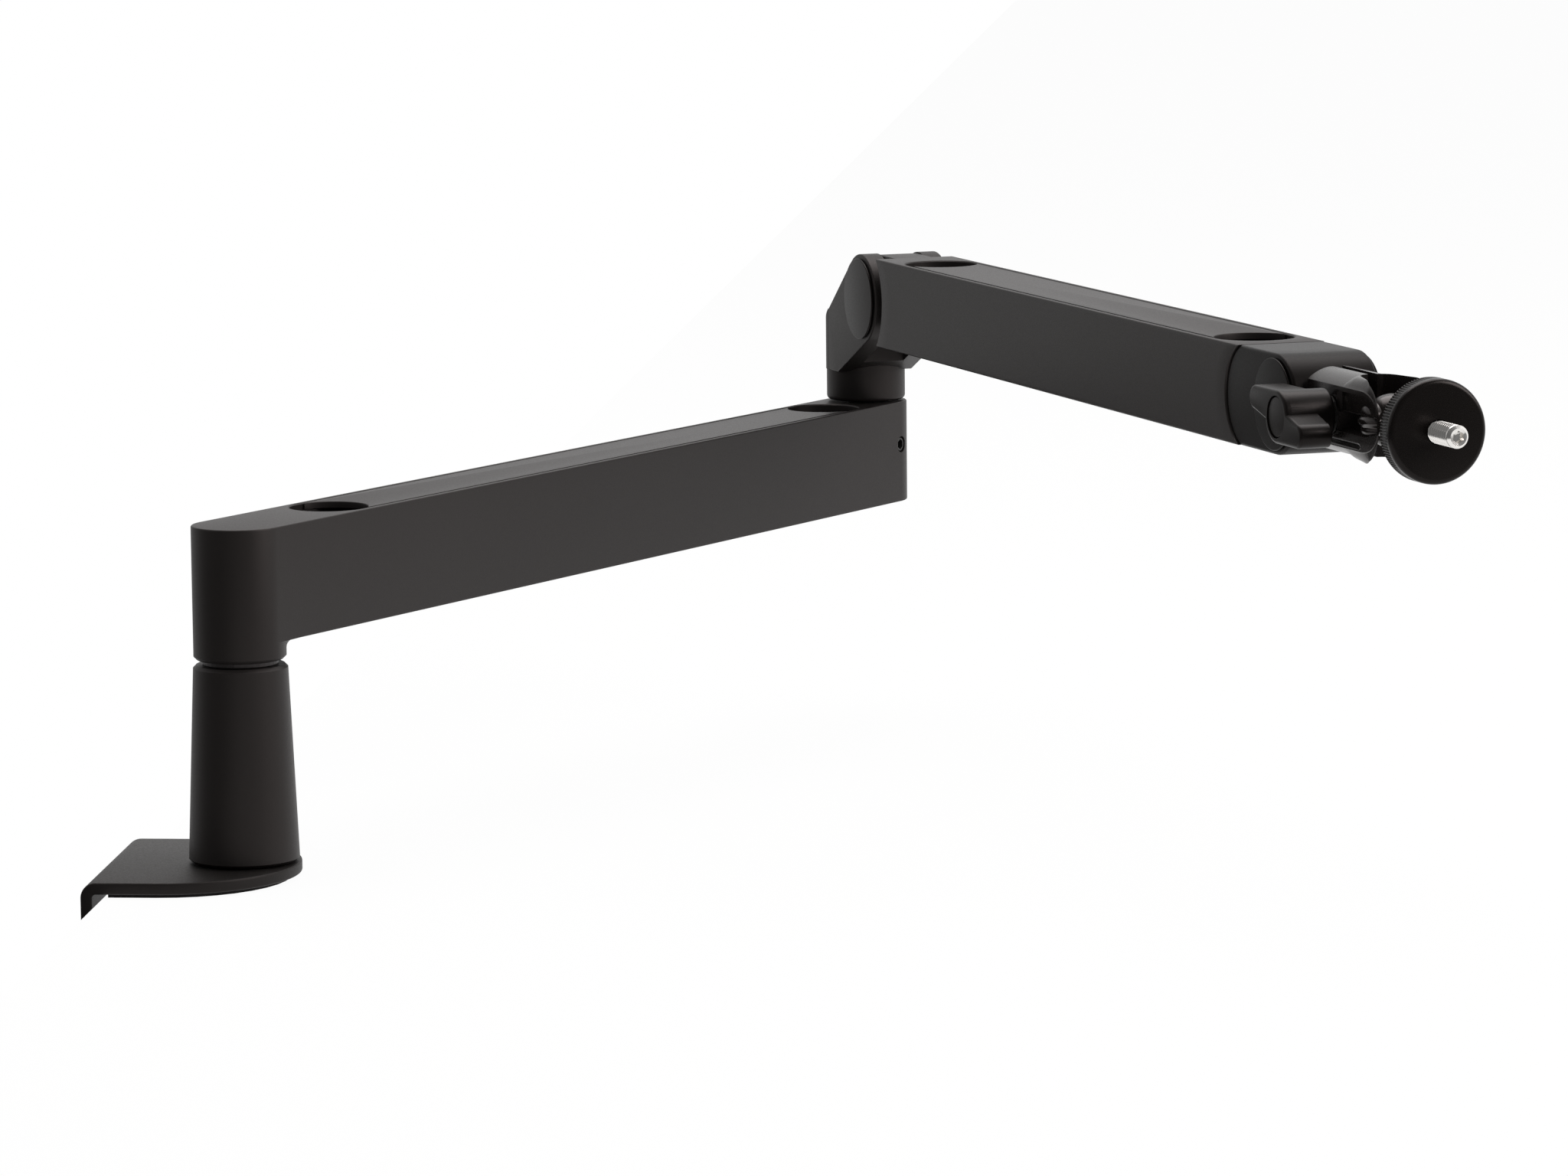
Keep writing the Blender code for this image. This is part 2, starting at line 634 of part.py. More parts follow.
def make_riser_screws():
    profile = countersunk(RISER_SCREW_RADIUS, RISER_SCREW_HEAD, PLATE_UNDER, PLATE_UNDER + RISER_SCREW_LENGTH)
    for k, (x, y) in enumerate(riser_screw_places()):
        turned("riser_screw_%d" % (k + 1), None, PLAIN_STEEL, profile, place=(x, y, 0), steps=SMALL_ROUND)


def make_swivel_post():
    low = RISER_TOP - POST_IN_RISER + SEAT
    turned("swivel_post", None, PLAIN_STEEL, rod(PIN_RADIUS, low, BOSS_UNDER + POST_IN_ARM, 0.8 * MM))
    turned("swivel_washer", None, BEARING_PLASTIC,
           tube(PIN_RADIUS + SEAT, THRUST_WASHER_RADIUS, RISER_TOP + SEAT, BOSS_UNDER - SEAT))


# Lower arm

def cover_outline(start, end):
    """A strip whose ends are hollowed by the two cable holes."""
    half = COVER_SEAT_HALF - SEAT
    lean = math.degrees(math.asin(half / CABLE_HOLE_RADIUS))
    steps = ROUND // 2
    return (arc((start, 0), CABLE_HOLE_RADIUS, lean, -lean, steps)
            + arc((end, 0), CABLE_HOLE_RADIUS, 180 + lean, 180 - lean, steps))


def make_lower_arm():
    """A round-ended bar with a boss over the riser, a cable channel and two swivel bores."""
    arm = prism("lower_arm_body", base_axis, BLACK_ARM, stadium(0, LOWER_REACH, HALF_ARM),
                BOSS_UNDER, LOWER_TOP, "XY")
    lean = math.degrees(math.acos(BOSS_START / BOSS_RADIUS))
    side, tip = HALF_ARM + OVER, LOWER_REACH + HALF_ARM + OVER
    relief = arc((0, 0), BOSS_RADIUS, lean, -lean, ROUND // 2)
    relief += [(BOSS_START, -side), (tip, -side), (tip, side), (BOSS_START, side)]
    cut_prism(arm, "boss_relief", relief, BOSS_UNDER - OVER, LOWER_UNDER, "XY")
    low, high = BOSS_UNDER - OVER, BOSS_UNDER + GROOVE_CHAMFER + OVER
    bevel = [(side, high), (side, low), (HALF_ARM - GROOVE_CHAMFER - OVER, low)]
    cut_turned(arm, "boss_bevel", bevel, steps=ROUND)

    near, far = LOWER_HOLE_NEAR_RISER, LOWER_REACH - LOWER_HOLE_TO_ELBOW
    open_top = LOWER_TOP + OVER
    floor = LOWER_TOP - LOWER_CHANNEL_DEPTH
    cut_prism(arm, "lower_cover_recess", rectangle(near, far, -COVER_SEAT_HALF, COVER_SEAT_HALF),
              LOWER_TOP - COVER_RECESS, open_top, "XY")
    cut_prism(arm, "lower_channel", rectangle(near, far, -CHANNEL_WIDTH / 2, CHANNEL_WIDTH / 2),
              floor, open_top, "XY")
    hole = rod(CABLE_HOLE_RADIUS, floor, open_top)
    cut_bodies(arm, "lower_holes", bodies_at(hole, ((near, 0), (far, 0)), ROUND))
    cut_round(arm, "base_bore", BORE_RADIUS, BOSS_UNDER - OVER, BOSS_UNDER + POST_IN_ARM + SEAT)
    cut_round(arm, "elbow_bore", BORE_RADIUS, LOWER_TOP - SPIGOT_IN_ARM - SEAT, open_top,
              place=(LOWER_REACH, 0, 0))
    cut_round(arm, "set_screw_hole", SET_SCREW_RADIUS + SEAT, -HALF_ARM - OVER, -PIN_RADIUS, axis="Y",
              place=(LOWER_REACH, 0, LOWER_TOP - SET_SCREW_BELOW_TOP), steps=SMALL_ROUND)

    prism("lower_arm_cover", base_axis, BLACK_ARM, cover_outline(near, far),
          LOWER_TOP - COVER_THICK, LOWER_TOP, "XY")
    ring = (PIN_RADIUS + SEAT, BUSH_RADIUS)
    turned("swivel_bush", base_axis, BEARING_PLASTIC,
           tube(*ring, BOSS_UNDER + SEAT, BOSS_UNDER + POST_IN_ARM))
    turned("elbow_bush", base_axis, BEARING_PLASTIC,
           tube(*ring, LOWER_TOP - SPIGOT_IN_ARM, LOWER_TOP - SEAT), place=(LOWER_REACH, 0, 0))


def make_elbow_set_screw():
    """A socket set screw in the side of the lower arm; it presses on the elbow's bush."""
    level = LOWER_TOP - SET_SCREW_BELOW_TOP
    outer, inner = HALF_ARM - SET_SCREW_SINK, BUSH_RADIUS + SEAT
    screw = turned("elbow_set_screw", base_axis, PLAIN_STEEL, rod(SET_SCREW_RADIUS, -outer, -inner),
                   axis="Y", place=(LOWER_REACH, 0, level), steps=SMALL_ROUND)
    socket = [(LOWER_REACH + x, level + z) for x, z in hexagon(SET_SCREW_SOCKET)]
    cut_prism(screw, "set_screw_socket", socket, -outer - OVER, -(outer + inner) / 2, "XZ")


# Elbow

def make_elbow_bracket():
    """A collar whose top leans into two cheeks for the tilt hinge."""
    profile = [(0, HINGE_LEVEL), (COLLAR_RADIUS, HINGE_LEVEL)]
    profile += [(COLLAR_RADIUS - COLLAR_ROUND + x, COLLAR_UNDER + COLLAR_ROUND + y)
                for x, y in arc((0, 0), COLLAR_ROUND, 0, -90, 4)]
    profile += [(0, COLLAR_UNDER)]
    bracket = turned("elbow_bracket", elbow_axis, BLACK_ARM, profile)

    hinge = (HINGE_REACH, HINGE_LEVEL)
    low_turn, high_turn = math.degrees(FRONT_SLOPE) - 90, math.degrees(BACK_SLOPE) + 90
    cheek = arc(hinge, CHEEK_RADIUS, low_turn, high_turn, ROUND // 2)
    under, over = cheek[0], cheek[-1]
    front_root = under[1] - under[0] * math.tan(FRONT_SLOPE)
    back_root = over[1] - over[0] * math.tan(BACK_SLOPE)
    cheek += [(0, over[1]), (0, front_root)]
    cut_prism(bracket, "cheek_form", cheek, -CHEEK_HALF, CHEEK_HALF, "XZ", "UNION")
    cut_round(bracket, "spigot_bore", PIN_RADIUS + SEAT, COLLAR_UNDER - OVER,
              COLLAR_UNDER + SPIGOT_IN_ELBOW + SEAT)

    behind = -COLLAR_RADIUS - OVER
    slope = [over, (over[0], over[1] + 4 * OVER), (behind, over[1] + 4 * OVER),
             (behind, back_root + behind * math.tan(BACK_SLOPE))]
    wide = COLLAR_RADIUS + OVER
    cut_prism(bracket, "back_slope", slope, -wide, wide, "XZ")

    slot_back = HINGE_REACH - TONGUE_RADIUS - 2 * RUN
    slot = rectangle(slot_back, HINGE_REACH + CHEEK_RADIUS + OVER, -FORK_HALF, FORK_HALF)
    cut_prism(bracket, "fork_slot", slot, COLLAR_UNDER - OVER, HINGE_LEVEL + CHEEK_RADIUS + OVER, "XY")
    cap_floor = CHEEK_HALF - CAP_THICK - SEAT
    head_floor = cap_floor - HINGE_HEAD - SEAT
    bores = cross_bore(((HINGE_CAP_RADIUS + SEAT, wide), (HINGE_NUT_CORNER + SEAT, cap_floor),
                        (HINGE_BOLT_RADIUS + SEAT, head_floor)))
    cut_turned(bracket, "hinge_bores", bores, "Y", (hinge[0], 0, hinge[1]), ROUND)


def make_elbow_pins():
    """The spigot that turns in the lower arm, and the hinge bolt with its nut, caps and washers."""
    turned("elbow_spigot", elbow_axis, PLAIN_STEEL,
           rod(PIN_RADIUS, LOWER_TOP - SPIGOT_IN_ARM, COLLAR_UNDER + SPIGOT_IN_ELBOW))
    place = (HINGE_REACH, 0, HINGE_LEVEL)
    head_floor = CHEEK_HALF - CAP_THICK - HINGE_HEAD - 2 * SEAT
    head_top = head_floor + SEAT / 2 + HINGE_HEAD
    profile = [(0, head_floor + HINGE_HEAD), (HINGE_BOLT_RADIUS, head_floor + HINGE_HEAD),
               (HINGE_BOLT_RADIUS, -head_floor - SEAT / 2), (HINGE_HEAD_RADIUS, -head_floor - SEAT / 2),
               (HINGE_HEAD_RADIUS, -head_top), (0, -head_top)]
    turned("hinge_bolt", elbow_axis, PLAIN_STEEL, profile, "Y", place, SMALL_ROUND)

    flats = [(HINGE_REACH + x, HINGE_LEVEL + z) for x, z in hexagon(HINGE_NUT_CORNER)]
    nut = prism("hinge_nut", elbow_axis, PLAIN_STEEL, flats, head_floor + SEAT / 2, head_top, "XZ")
    cut_round(nut, "hinge_nut_bore", HINGE_BOLT_RADIUS + SEAT, 0, CHEEK_HALF + OVER, "Y", place, SMALL_ROUND)

    disc = rod(HINGE_CAP_RADIUS, CHEEK_HALF - CAP_THICK, CHEEK_HALF, SEAT)
    ring = tube(HINGE_BOLT_RADIUS + SEAT, FRICTION_WASHER_RADIUS, FORK_HALF - SEAT - FRICTION_WASHER,
                FORK_HALF - SEAT)
    pair("hinge_cap", elbow_axis, BLACK_PLASTIC, disc, place, ROUND)
    pair("friction_washer", elbow_axis, BEARING_PLASTIC, ring, place, SMALL_ROUND)


# Upper arm

TONGUE_HALF = FORK_HALF - 2 * SEAT - FRICTION_WASHER


def plug_screw_places():
    """Places along the upper arm of the screws that hold the two end tongues."""
    depth = PLUG_LENGTH / 2
    return (ELBOW_SCALLOP + depth, 0), (WRIST_REACH - WRIST_SCALLOP - depth, 0)


def make_upper_arm():
    """A square bar with hollow ends that clear the hinge cheeks and the wrist block."""
    start = ELBOW_SCALLOP * 0.4
    arm = prism("upper_arm_body", tilt_axis, BLACK_ARM,
                rectangle(start, WRIST_REACH, -HALF_UPPER, HALF_UPPER), -HALF_ARM, HALF_ARM, "XZ")
    wide = HALF_ARM + OVER
    cut_round(arm, "elbow_scallop", ELBOW_SCALLOP, -wide, wide, "Y")
    cut_round(arm, "wrist_scallop", WRIST_SCALLOP, -wide, wide, "Y", (WRIST_REACH, 0, 0))

    near, far = UPPER_HOLE_NEAR_ELBOW, WRIST_REACH - UPPER_HOLE_TO_WRIST
    open_top = HALF_UPPER + OVER
    cut_prism(arm, "upper_cover_recess", rectangle(near, far, -COVER_SEAT_HALF, COVER_SEAT_HALF),
              HALF_UPPER - COVER_RECESS, open_top, "XY")
    hole = rod(CABLE_HOLE_RADIUS, HALF_UPPER - UPPER_HOLE_DEPTH, open_top)
    cut_bodies(arm, "upper_holes", bodies_at(hole, ((near, 0), (far, 0)), ROUND))
    behind_plug = PLUG_LENGTH + SEAT + PLUG_WALL + CHANNEL_WIDTH / 2
    channel = stadium(ELBOW_SCALLOP + behind_plug, WRIST_REACH - WRIST_SCALLOP - behind_plug, CHANNEL_WIDTH / 2)
    cut_prism(arm, "upper_channel", channel, HALF_UPPER - UPPER_CHANNEL_DEPTH, open_top, "XY")
    for half, start, end, label in ((TONGUE_HALF, 0, ELBOW_SCALLOP + PLUG_LENGTH, "elbow"),
                                    (WRIST_EYE_HALF, WRIST_REACH - WRIST_SCALLOP - PLUG_LENGTH,
                                     WRIST_REACH, "wrist")):
        slack = PLUG_HALF_HEIGHT + SEAT
        cut_prism(arm, label + "_plug_seat", rectangle(start - SEAT, end + SEAT, -slack, slack),
                  -half - SEAT, half + SEAT, "XZ")
    seat = countersunk(PLUG_SCREW_RADIUS, PLUG_SCREW_HEAD, -HALF_UPPER, 0, SEAT)
    seat = seat[:-1] + [(PLUG_SCREW_HEAD + SEAT, -HALF_UPPER - OVER), (0, -HALF_UPPER - OVER)]
    cut_bodies(arm, "plug_screw_holes", bodies_at(seat, plug_screw_places()))

    prism("upper_arm_cover", tilt_axis, BLACK_ARM, cover_outline(near, far),
          HALF_UPPER - COVER_THICK, HALF_UPPER, "XY")


def make_end_tongues():
    """The eye between the elbow's cheeks and the eye inside the wrist block, each plugged into the arm."""
    for name, half, eye, centre, reach, bore, place in (
            ("elbow_tongue", TONGUE_HALF, TONGUE_RADIUS, 0, ELBOW_SCALLOP + PLUG_LENGTH,
             HINGE_BOLT_RADIUS, plug_screw_places()[0]),
            ("wrist_tongue", WRIST_EYE_HALF, WRIST_EYE_RADIUS, WRIST_REACH,
             -WRIST_SCALLOP - PLUG_LENGTH, WRIST_PIN_RADIUS, plug_screw_places()[1])):
        lean = math.degrees(math.asin(PLUG_HALF_HEIGHT / eye))
        if reach > 0:
            outline = arc((centre, 0), eye, lean, 360 - lean, ROUND)
            outline += [(centre + reach, -PLUG_HALF_HEIGHT), (centre + reach, PLUG_HALF_HEIGHT)]
        else:
            outline = arc((centre, 0), eye, lean - 180, 180 - lean, ROUND)
            outline += [(centre + reach, PLUG_HALF_HEIGHT), (centre + reach, -PLUG_HALF_HEIGHT)]
        tongue = prism(name, tilt_axis, BLACK_CAST, outline, -half, half, "XZ")
        cut_round(tongue, name + "_bore", bore + SEAT, -half - OVER, half + OVER, "Y", (centre, 0, 0),
                  SMALL_ROUND)
        top = -PLUG_HALF_HEIGHT + PLUG_SCREW_BITE + SEAT
        cut_round(tongue, name + "_tapping", PLUG_SCREW_RADIUS + SEAT, -HALF_UPPER, top,
                  place=(*place, 0), steps=SMALL_ROUND)


def make_plug_screws():
    tip = -PLUG_HALF_HEIGHT + PLUG_SCREW_BITE
    profile = countersunk(PLUG_SCREW_RADIUS, PLUG_SCREW_HEAD, -HALF_UPPER, tip)
    for name, place in zip(("elbow_plug_screw", "wrist_plug_screw"), plug_screw_places()):
        turned(name, tilt_axis, PLAIN_STEEL, profile, place=(*place, 0), steps=SMALL_ROUND)


# Wrist

def make_wrist_block():
    """A block with a round back that turns in the arm's hollow end and a round front with two caps."""
    back = WRIST_SCALLOP - RUN
    lean = math.degrees(math.asin(HALF_UPPER / back))
    outline = arc((WRIST_FRONT, 0), HALF_UPPER, -90, 90, ROUND // 2)
    outline += arc((0, 0), back, 180 - lean, 180 + lean, ROUND // 2)
    block = prism("wrist_block", wrist_axis, BLACK_PLASTIC, outline, -WRIST_BLOCK_HALF, WRIST_BLOCK_HALF, "XZ")

    wide = WRIST_BLOCK_HALF + OVER
    slot = WRIST_EYE_HALF + RUN
    neck = math.degrees(math.asin(PLUG_HALF_HEIGHT / WRIST_EYE_RADIUS) + WRIST_TILT)
    sweep = arc((0, 0), WRIST_EYE_RADIUS + RUN, neck - 180, 180 - neck, ROUND)
    swing = math.degrees(WRIST_TILT)
    for root, turn in ((sweep[-1], 180 - swing), (sweep[0], 180 + swing)):
        sweep += arc(root, 2 * back, turn, turn, 1)[:1]
    cut_prism(block, "eye_seat", sweep, -slot, slot, "XZ")
    cut_round(block, "wrist_pin_bore", WRIST_PIN_RADIUS + SEAT, -WRIST_BLOCK_HALF + 1.5 * MM, wide, "Y",
              steps=SMALL_ROUND)
    cap_floor = WRIST_BLOCK_HALF - CAP_THICK - SEAT
    head_floor = cap_floor - WRIST_HEAD - SEAT
    bores = cross_bore(((WRIST_CAP_STUB + SEAT, wide), (WRIST_NUT_CORNER + SEAT, cap_floor),
                        (WRIST_BOLT_RADIUS + SEAT, head_floor)))
    cut_turned(block, "wrist_bolt_bores", bores, "Y", (WRIST_FRONT, 0, 0), ROUND)
    pocket = rectangle(block_front() - SHANK_LENGTH - SEAT, block_front() + OVER,
                       -SHANK_HALF_HEIGHT - SEAT, SHANK_HALF_HEIGHT + SEAT)
    cut_prism(block, "shank_pocket", pocket, -SHANK_HALF_WIDTH - SEAT, SHANK_HALF_WIDTH + SEAT, "XZ")


def block_front():
    return WRIST_FRONT + HALF_UPPER


def make_wrist_pins():
    """The pin of the wrist tilt, and the cross bolt that holds the ball clamp's shank, with nut and caps."""
    turned("wrist_pin", wrist_axis, PLAIN_STEEL,
           rod(WRIST_PIN_RADIUS, -WRIST_BLOCK_HALF + 1.5 * MM + SEAT, WRIST_BLOCK_HALF - SEAT), "Y",
           steps=SMALL_ROUND)
    place = (WRIST_FRONT, 0, 0)
    head_floor = WRIST_BLOCK_HALF - CAP_THICK - WRIST_HEAD - 2 * SEAT
    head_top = head_floor + SEAT / 2 + WRIST_HEAD
    profile = [(0, head_floor + WRIST_HEAD), (WRIST_BOLT_RADIUS, head_floor + WRIST_HEAD),
               (WRIST_BOLT_RADIUS, -head_floor - SEAT / 2), (WRIST_HEAD_RADIUS, -head_floor - SEAT / 2),
               (WRIST_HEAD_RADIUS, -head_top), (0, -head_top)]
    turned("wrist_bolt", wrist_axis, PLAIN_STEEL, profile, "Y", place, SMALL_ROUND)
    flats = [(WRIST_FRONT + x, z) for x, z in hexagon(WRIST_NUT_CORNER)]
    nut = prism("wrist_nut", wrist_axis, PLAIN_STEEL, flats, head_floor + SEAT / 2, head_top, "XZ")
    cut_round(nut, "wrist_nut_bore", WRIST_BOLT_RADIUS + SEAT, 0, WRIST_BLOCK_HALF + OVER, "Y", place,
              SMALL_ROUND)
    rim = WRIST_BLOCK_HALF + SEAT
    disc = [(0, rim + WRIST_CAP), (WRIST_CAP_RADIUS - SEAT, rim + WRIST_CAP),
            (WRIST_CAP_RADIUS, rim + WRIST_CAP - SEAT), (WRIST_CAP_RADIUS, rim), (WRIST_CAP_STUB, rim),
            (WRIST_CAP_STUB, WRIST_BLOCK_HALF - CAP_THICK), (0, WRIST_BLOCK_HALF - CAP_THICK)]
    pair("wrist_cap", wrist_axis, BLACK_PLASTIC, disc, place, ROUND)


# Ball head

def make_ball_clamp():
    """Two jaws on one shank, split down the middle and hollowed for the ball."""
    start = block_front() + RUN
    section = rounded_rectangle(CLAMP_HALF_WIDTH, CLAMP_HALF_HEIGHT, CLAMP_CORNER)
    clamp = prism("ball_clamp", wrist_axis, BLACK_CAST, section, start, CLAMP_FRONT, "YZ")
    wide = CLAMP_HALF_HEIGHT + OVER
    tall, nose = CLAMP_HALF_HEIGHT + OVER / 2, CLAMP_FRONT - CLAMP_NOSE
    steps = SMALL_ROUND // 4
    side = [(start - OVER, -tall), (nose, -tall)]
    side += arc((nose, -tall + CLAMP_NOSE), CLAMP_NOSE, -90, 0, steps)
    side += arc((nose, tall - CLAMP_NOSE), CLAMP_NOSE, 0, 90, steps)
    side += [(start - OVER, tall)]
    cut_prism(clamp, "jaw_side", side, -wide, wide, "XZ", "INTERSECT")

    shank = rectangle(block_front() - SHANK_LENGTH, start + OVER, -SHANK_HALF_HEIGHT, SHANK_HALF_HEIGHT)
    cut_prism(clamp, "shank_form", shank, -SHANK_HALF_WIDTH, SHANK_HALF_WIDTH, "XZ", "UNION")
    cut_round(clamp, "shank_bore", WRIST_BOLT_RADIUS + SEAT, -wide, wide, "Y", (WRIST_FRONT, 0, 0), SMALL_ROUND)

    lean = math.degrees(math.asin(CLAMP_SLOT_HALF / CLAMP_GAPE_HALF))
    middle = (CLAMP_GAPE_START + CLAMP_GAPE_HALF, 0)
    gape = [(CLAMP_SLOT_START, CLAMP_SLOT_HALF), (CLAMP_SLOT_START, -CLAMP_SLOT_HALF)]
    gape += arc(middle, CLAMP_GAPE_HALF, 180 + lean, 270, SMALL_ROUND // 4)
    gape += [(CLAMP_FRONT + OVER, -CLAMP_GAPE_HALF), (CLAMP_FRONT + OVER, CLAMP_GAPE_HALF)]
    gape += arc(middle, CLAMP_GAPE_HALF, 90, 180 - lean, SMALL_ROUND // 4)
    cut_prism(clamp, "jaw_gape", gape, -wide, wide, "XY")
    pocket = rectangle(CLAMP_POCKET_START, CLAMP_FRONT + OVER, -CLAMP_POCKET_HALF, CLAMP_POCKET_HALF)
    floor = CLAMP_HALF_WIDTH - CLAMP_POCKET_DEPTH
    cut_bodies(clamp, "jaw_pockets", [prism_mesh(pocket, -wide, -floor, "XZ"), prism_mesh(pocket, floor, wide, "XZ")])
    seat = BALL_RADIUS + SEAT
    ball = [(0, seat)] + arc((0, 0), seat, 90, -90, SMALL_ROUND)[1:-1] + [(0, -seat)]
    cut_turned(clamp, "ball_seat", ball, "Z", (BALL_AT, 0, 0), ROUND)
    cut_round(clamp, "clamp_bolt_bore", CLAMP_BOLT_RADIUS + SEAT, -wide, wide, "Y", (CLAMP_BOLT_AT, 0, 0),
              SMALL_ROUND)
    flats = [(CLAMP_BOLT_AT + x, z) for x, z in hexagon(CLAMP_NUT_RADIUS + SEAT)]
    cut_prism(clamp, "clamp_nut_seat", flats, CLAMP_HALF_WIDTH - CLAMP_NUT - SEAT, wide, "XZ")


def wing_face():
    """Outer face of the wing knob, from the ball head's middle plane."""
    return CLAMP_HALF_WIDTH + WING_WASHER + 2 * SEAT + WING_DEPTH


def make_clamp_bolt():
    """The cross bolt of the jaws with its captive nut, and the washer under the wing knob."""
    far = CLAMP_HALF_WIDTH - SEAT
    near = wing_face() - WING_DEPTH + WING_BOLT_GRIP
    place = (CLAMP_BOLT_AT, 0, 0)
    turned("jaw_bolt", wrist_axis, PLAIN_STEEL, rod(CLAMP_BOLT_RADIUS, -near, far), "Y", place, SMALL_ROUND)
    flats = [(CLAMP_BOLT_AT + x, z) for x, z in hexagon(CLAMP_NUT_RADIUS)]
    nut = prism("jaw_nut", wrist_axis, PLAIN_STEEL, flats, CLAMP_HALF_WIDTH - CLAMP_NUT, far, "XZ")
    cut_round(nut, "jaw_nut_bore", CLAMP_BOLT_RADIUS + SEAT, 0, CLAMP_HALF_WIDTH + OVER, "Y", place, SMALL_ROUND)
    inner = CLAMP_HALF_WIDTH + SEAT
    turned("wing_washer", wrist_axis, PLAIN_STEEL,
           tube(CLAMP_BOLT_RADIUS + SEAT, WING_WASHER_RADIUS, -inner - WING_WASHER, -inner), "Y", place,
           SMALL_ROUND)


def make_wing_knob():
    """A hub with two offset wings, one high at the back and one low at the front, and a round cap."""
    steps = SMALL_ROUND // 4
    wing = (WING_HUB + WING_INNER_EDGE) / 2          # half the height of a wing
    level = WING_HUB - wing
    back, front = -WING_BACK + wing, WING_FRONT - wing
    outline = arc((back, level), wing, 90, 270, 2 * steps)
    outline += arc((0, 0), WING_HUB, 190, 270, 2 * steps)
    outline += arc((front, -level), wing, 270, 450, 2 * steps)
    outline += arc((0, 0), WING_HUB, 10, 90, 2 * steps)
    face = wing_face()
    knob = prism("wing_knob", wing_axis, BLACK_PLASTIC, outline, -face, -face + WING_BLADE, "XZ")
    collar = add(turned_mesh(rod(WING_HUB - SEAT, -face + CAP_THICK, -face + WING_DEPTH)), "wing_collar", wing_axis,
                 CUTTERS)
    collar.rotation_euler = TURN["Y"]
    spin(collar, ROUND)
    apply_boolean(knob, collar, "UNION")
    cut_round(knob, "wing_bore", CLAMP_BOLT_RADIUS + SEAT, -face + WING_DEPTH - WING_BOLT_GRIP - SEAT,
              -face + WING_DEPTH + OVER, "Y", steps=SMALL_ROUND)
    cut_round(knob, "wing_cap_seat", WING_CAP_RADIUS + SEAT, -face - OVER, -face + CAP_THICK + SEAT, "Y",
              steps=SMALL_ROUND)
    turned("wing_cap", wing_axis, BLACK_PLASTIC,
           rod(WING_CAP_RADIUS, -face + SEAT, -face + CAP_THICK), "Y", steps=SMALL_ROUND)


def make_ball_stem():
    """A ball on a neck that is bored for the stud."""
    neck_end = DISC_FACE - DISC_THICK - SEAT - BALL_AT
    bore = STUD_RADIUS + SEAT
    floor = neck_end - STUD_IN_NECK
    lean = math.degrees(math.acos(NECK_RADIUS / BALL_RADIUS))
    profile = [(0, floor), (bore, floor), (bore, neck_end), (NECK_RADIUS, neck_end)]
    profile += arc((0, 0), BALL_RADIUS, lean, -90, SMALL_ROUND)[:-1] + [(0, -BALL_RADIUS)]
    turned("ball_stem", ball_axis, BLACK_CAST, profile, "X")


def make_mic_disc():
    """The round plate that a microphone is tightened against."""
    face = DISC_FACE - BALL_AT
    profile = [(DISC_RADIUS - DISC_CHAMFER, face), (DISC_RADIUS, face - DISC_CHAMFER),
               (DISC_RADIUS, face - DISC_THICK + DISC_CHAMFER / 2),
               (DISC_RADIUS - DISC_CHAMFER / 2, face - DISC_THICK),
               (STUD_RADIUS + SEAT, face - DISC_THICK), (STUD_RADIUS + SEAT, face)]
    turned("mic_disc", ball_axis, BLACK_CAST, profile, "X")


def make_stud():
    """The quarter-inch stud with a hexagon socket in its tip."""
    tip = DISC_FACE + STUD_LENGTH - BALL_AT
    root = DISC_FACE - DISC_THICK - STUD_IN_NECK - BALL_AT
    stud = turned("mic_stud", ball_axis, BRIGHT_STUD, rod(STUD_RADIUS, root, tip, STUD_CHAMFER), "X")
    cut_prism(stud, "stud_socket", hexagon(STUD_SOCKET), tip - STUD_SOCKET_DEPTH, tip + OVER, "YZ")


make_clamp_bracket()
make_desk_pad()
make_clamp_nut()
make_clamp_screw()
make_clamp_foot()
make_clamp_knob()
make_riser()
make_riser_screws()
make_swivel_post()
make_lower_arm()
make_elbow_set_screw()
make_elbow_bracket()
make_elbow_pins()
make_upper_arm()
make_end_tongues()
make_plug_screws()
make_wrist_block()
make_wrist_pins()
make_ball_clamp()
make_clamp_bolt()
make_wing_knob()
make_ball_stem()
make_mic_disc()
make_stud()
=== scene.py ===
"""The looks of a low-profile boom arm for a microphone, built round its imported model.

Each visible piece is a surface worked out with numpy in the frame of the arm that carries it
(x along the arm, y to its far side, z up), placed from the model's joints and given a finish made
of shader nodes. Lengths are in metres.
"""
import json
import math

import bmesh
import bpy
import numpy as np
from mathutils import Matrix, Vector
from mathutils.geometry import tessellate_polygon


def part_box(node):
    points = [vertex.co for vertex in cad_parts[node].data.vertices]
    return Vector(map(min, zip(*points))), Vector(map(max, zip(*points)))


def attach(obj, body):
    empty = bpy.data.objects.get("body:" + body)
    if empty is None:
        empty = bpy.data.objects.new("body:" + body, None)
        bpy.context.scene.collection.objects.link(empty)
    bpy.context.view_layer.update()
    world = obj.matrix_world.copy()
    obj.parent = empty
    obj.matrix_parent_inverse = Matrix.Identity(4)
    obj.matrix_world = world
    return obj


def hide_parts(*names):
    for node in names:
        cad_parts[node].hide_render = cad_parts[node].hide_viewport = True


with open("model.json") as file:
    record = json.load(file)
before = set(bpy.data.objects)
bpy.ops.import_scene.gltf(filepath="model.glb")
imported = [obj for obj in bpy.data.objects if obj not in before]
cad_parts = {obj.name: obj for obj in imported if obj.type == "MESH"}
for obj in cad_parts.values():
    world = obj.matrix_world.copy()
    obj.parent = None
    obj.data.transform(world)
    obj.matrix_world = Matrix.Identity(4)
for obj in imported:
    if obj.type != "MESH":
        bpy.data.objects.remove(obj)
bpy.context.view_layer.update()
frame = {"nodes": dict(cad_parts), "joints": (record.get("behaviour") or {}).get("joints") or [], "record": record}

MM = 0.001

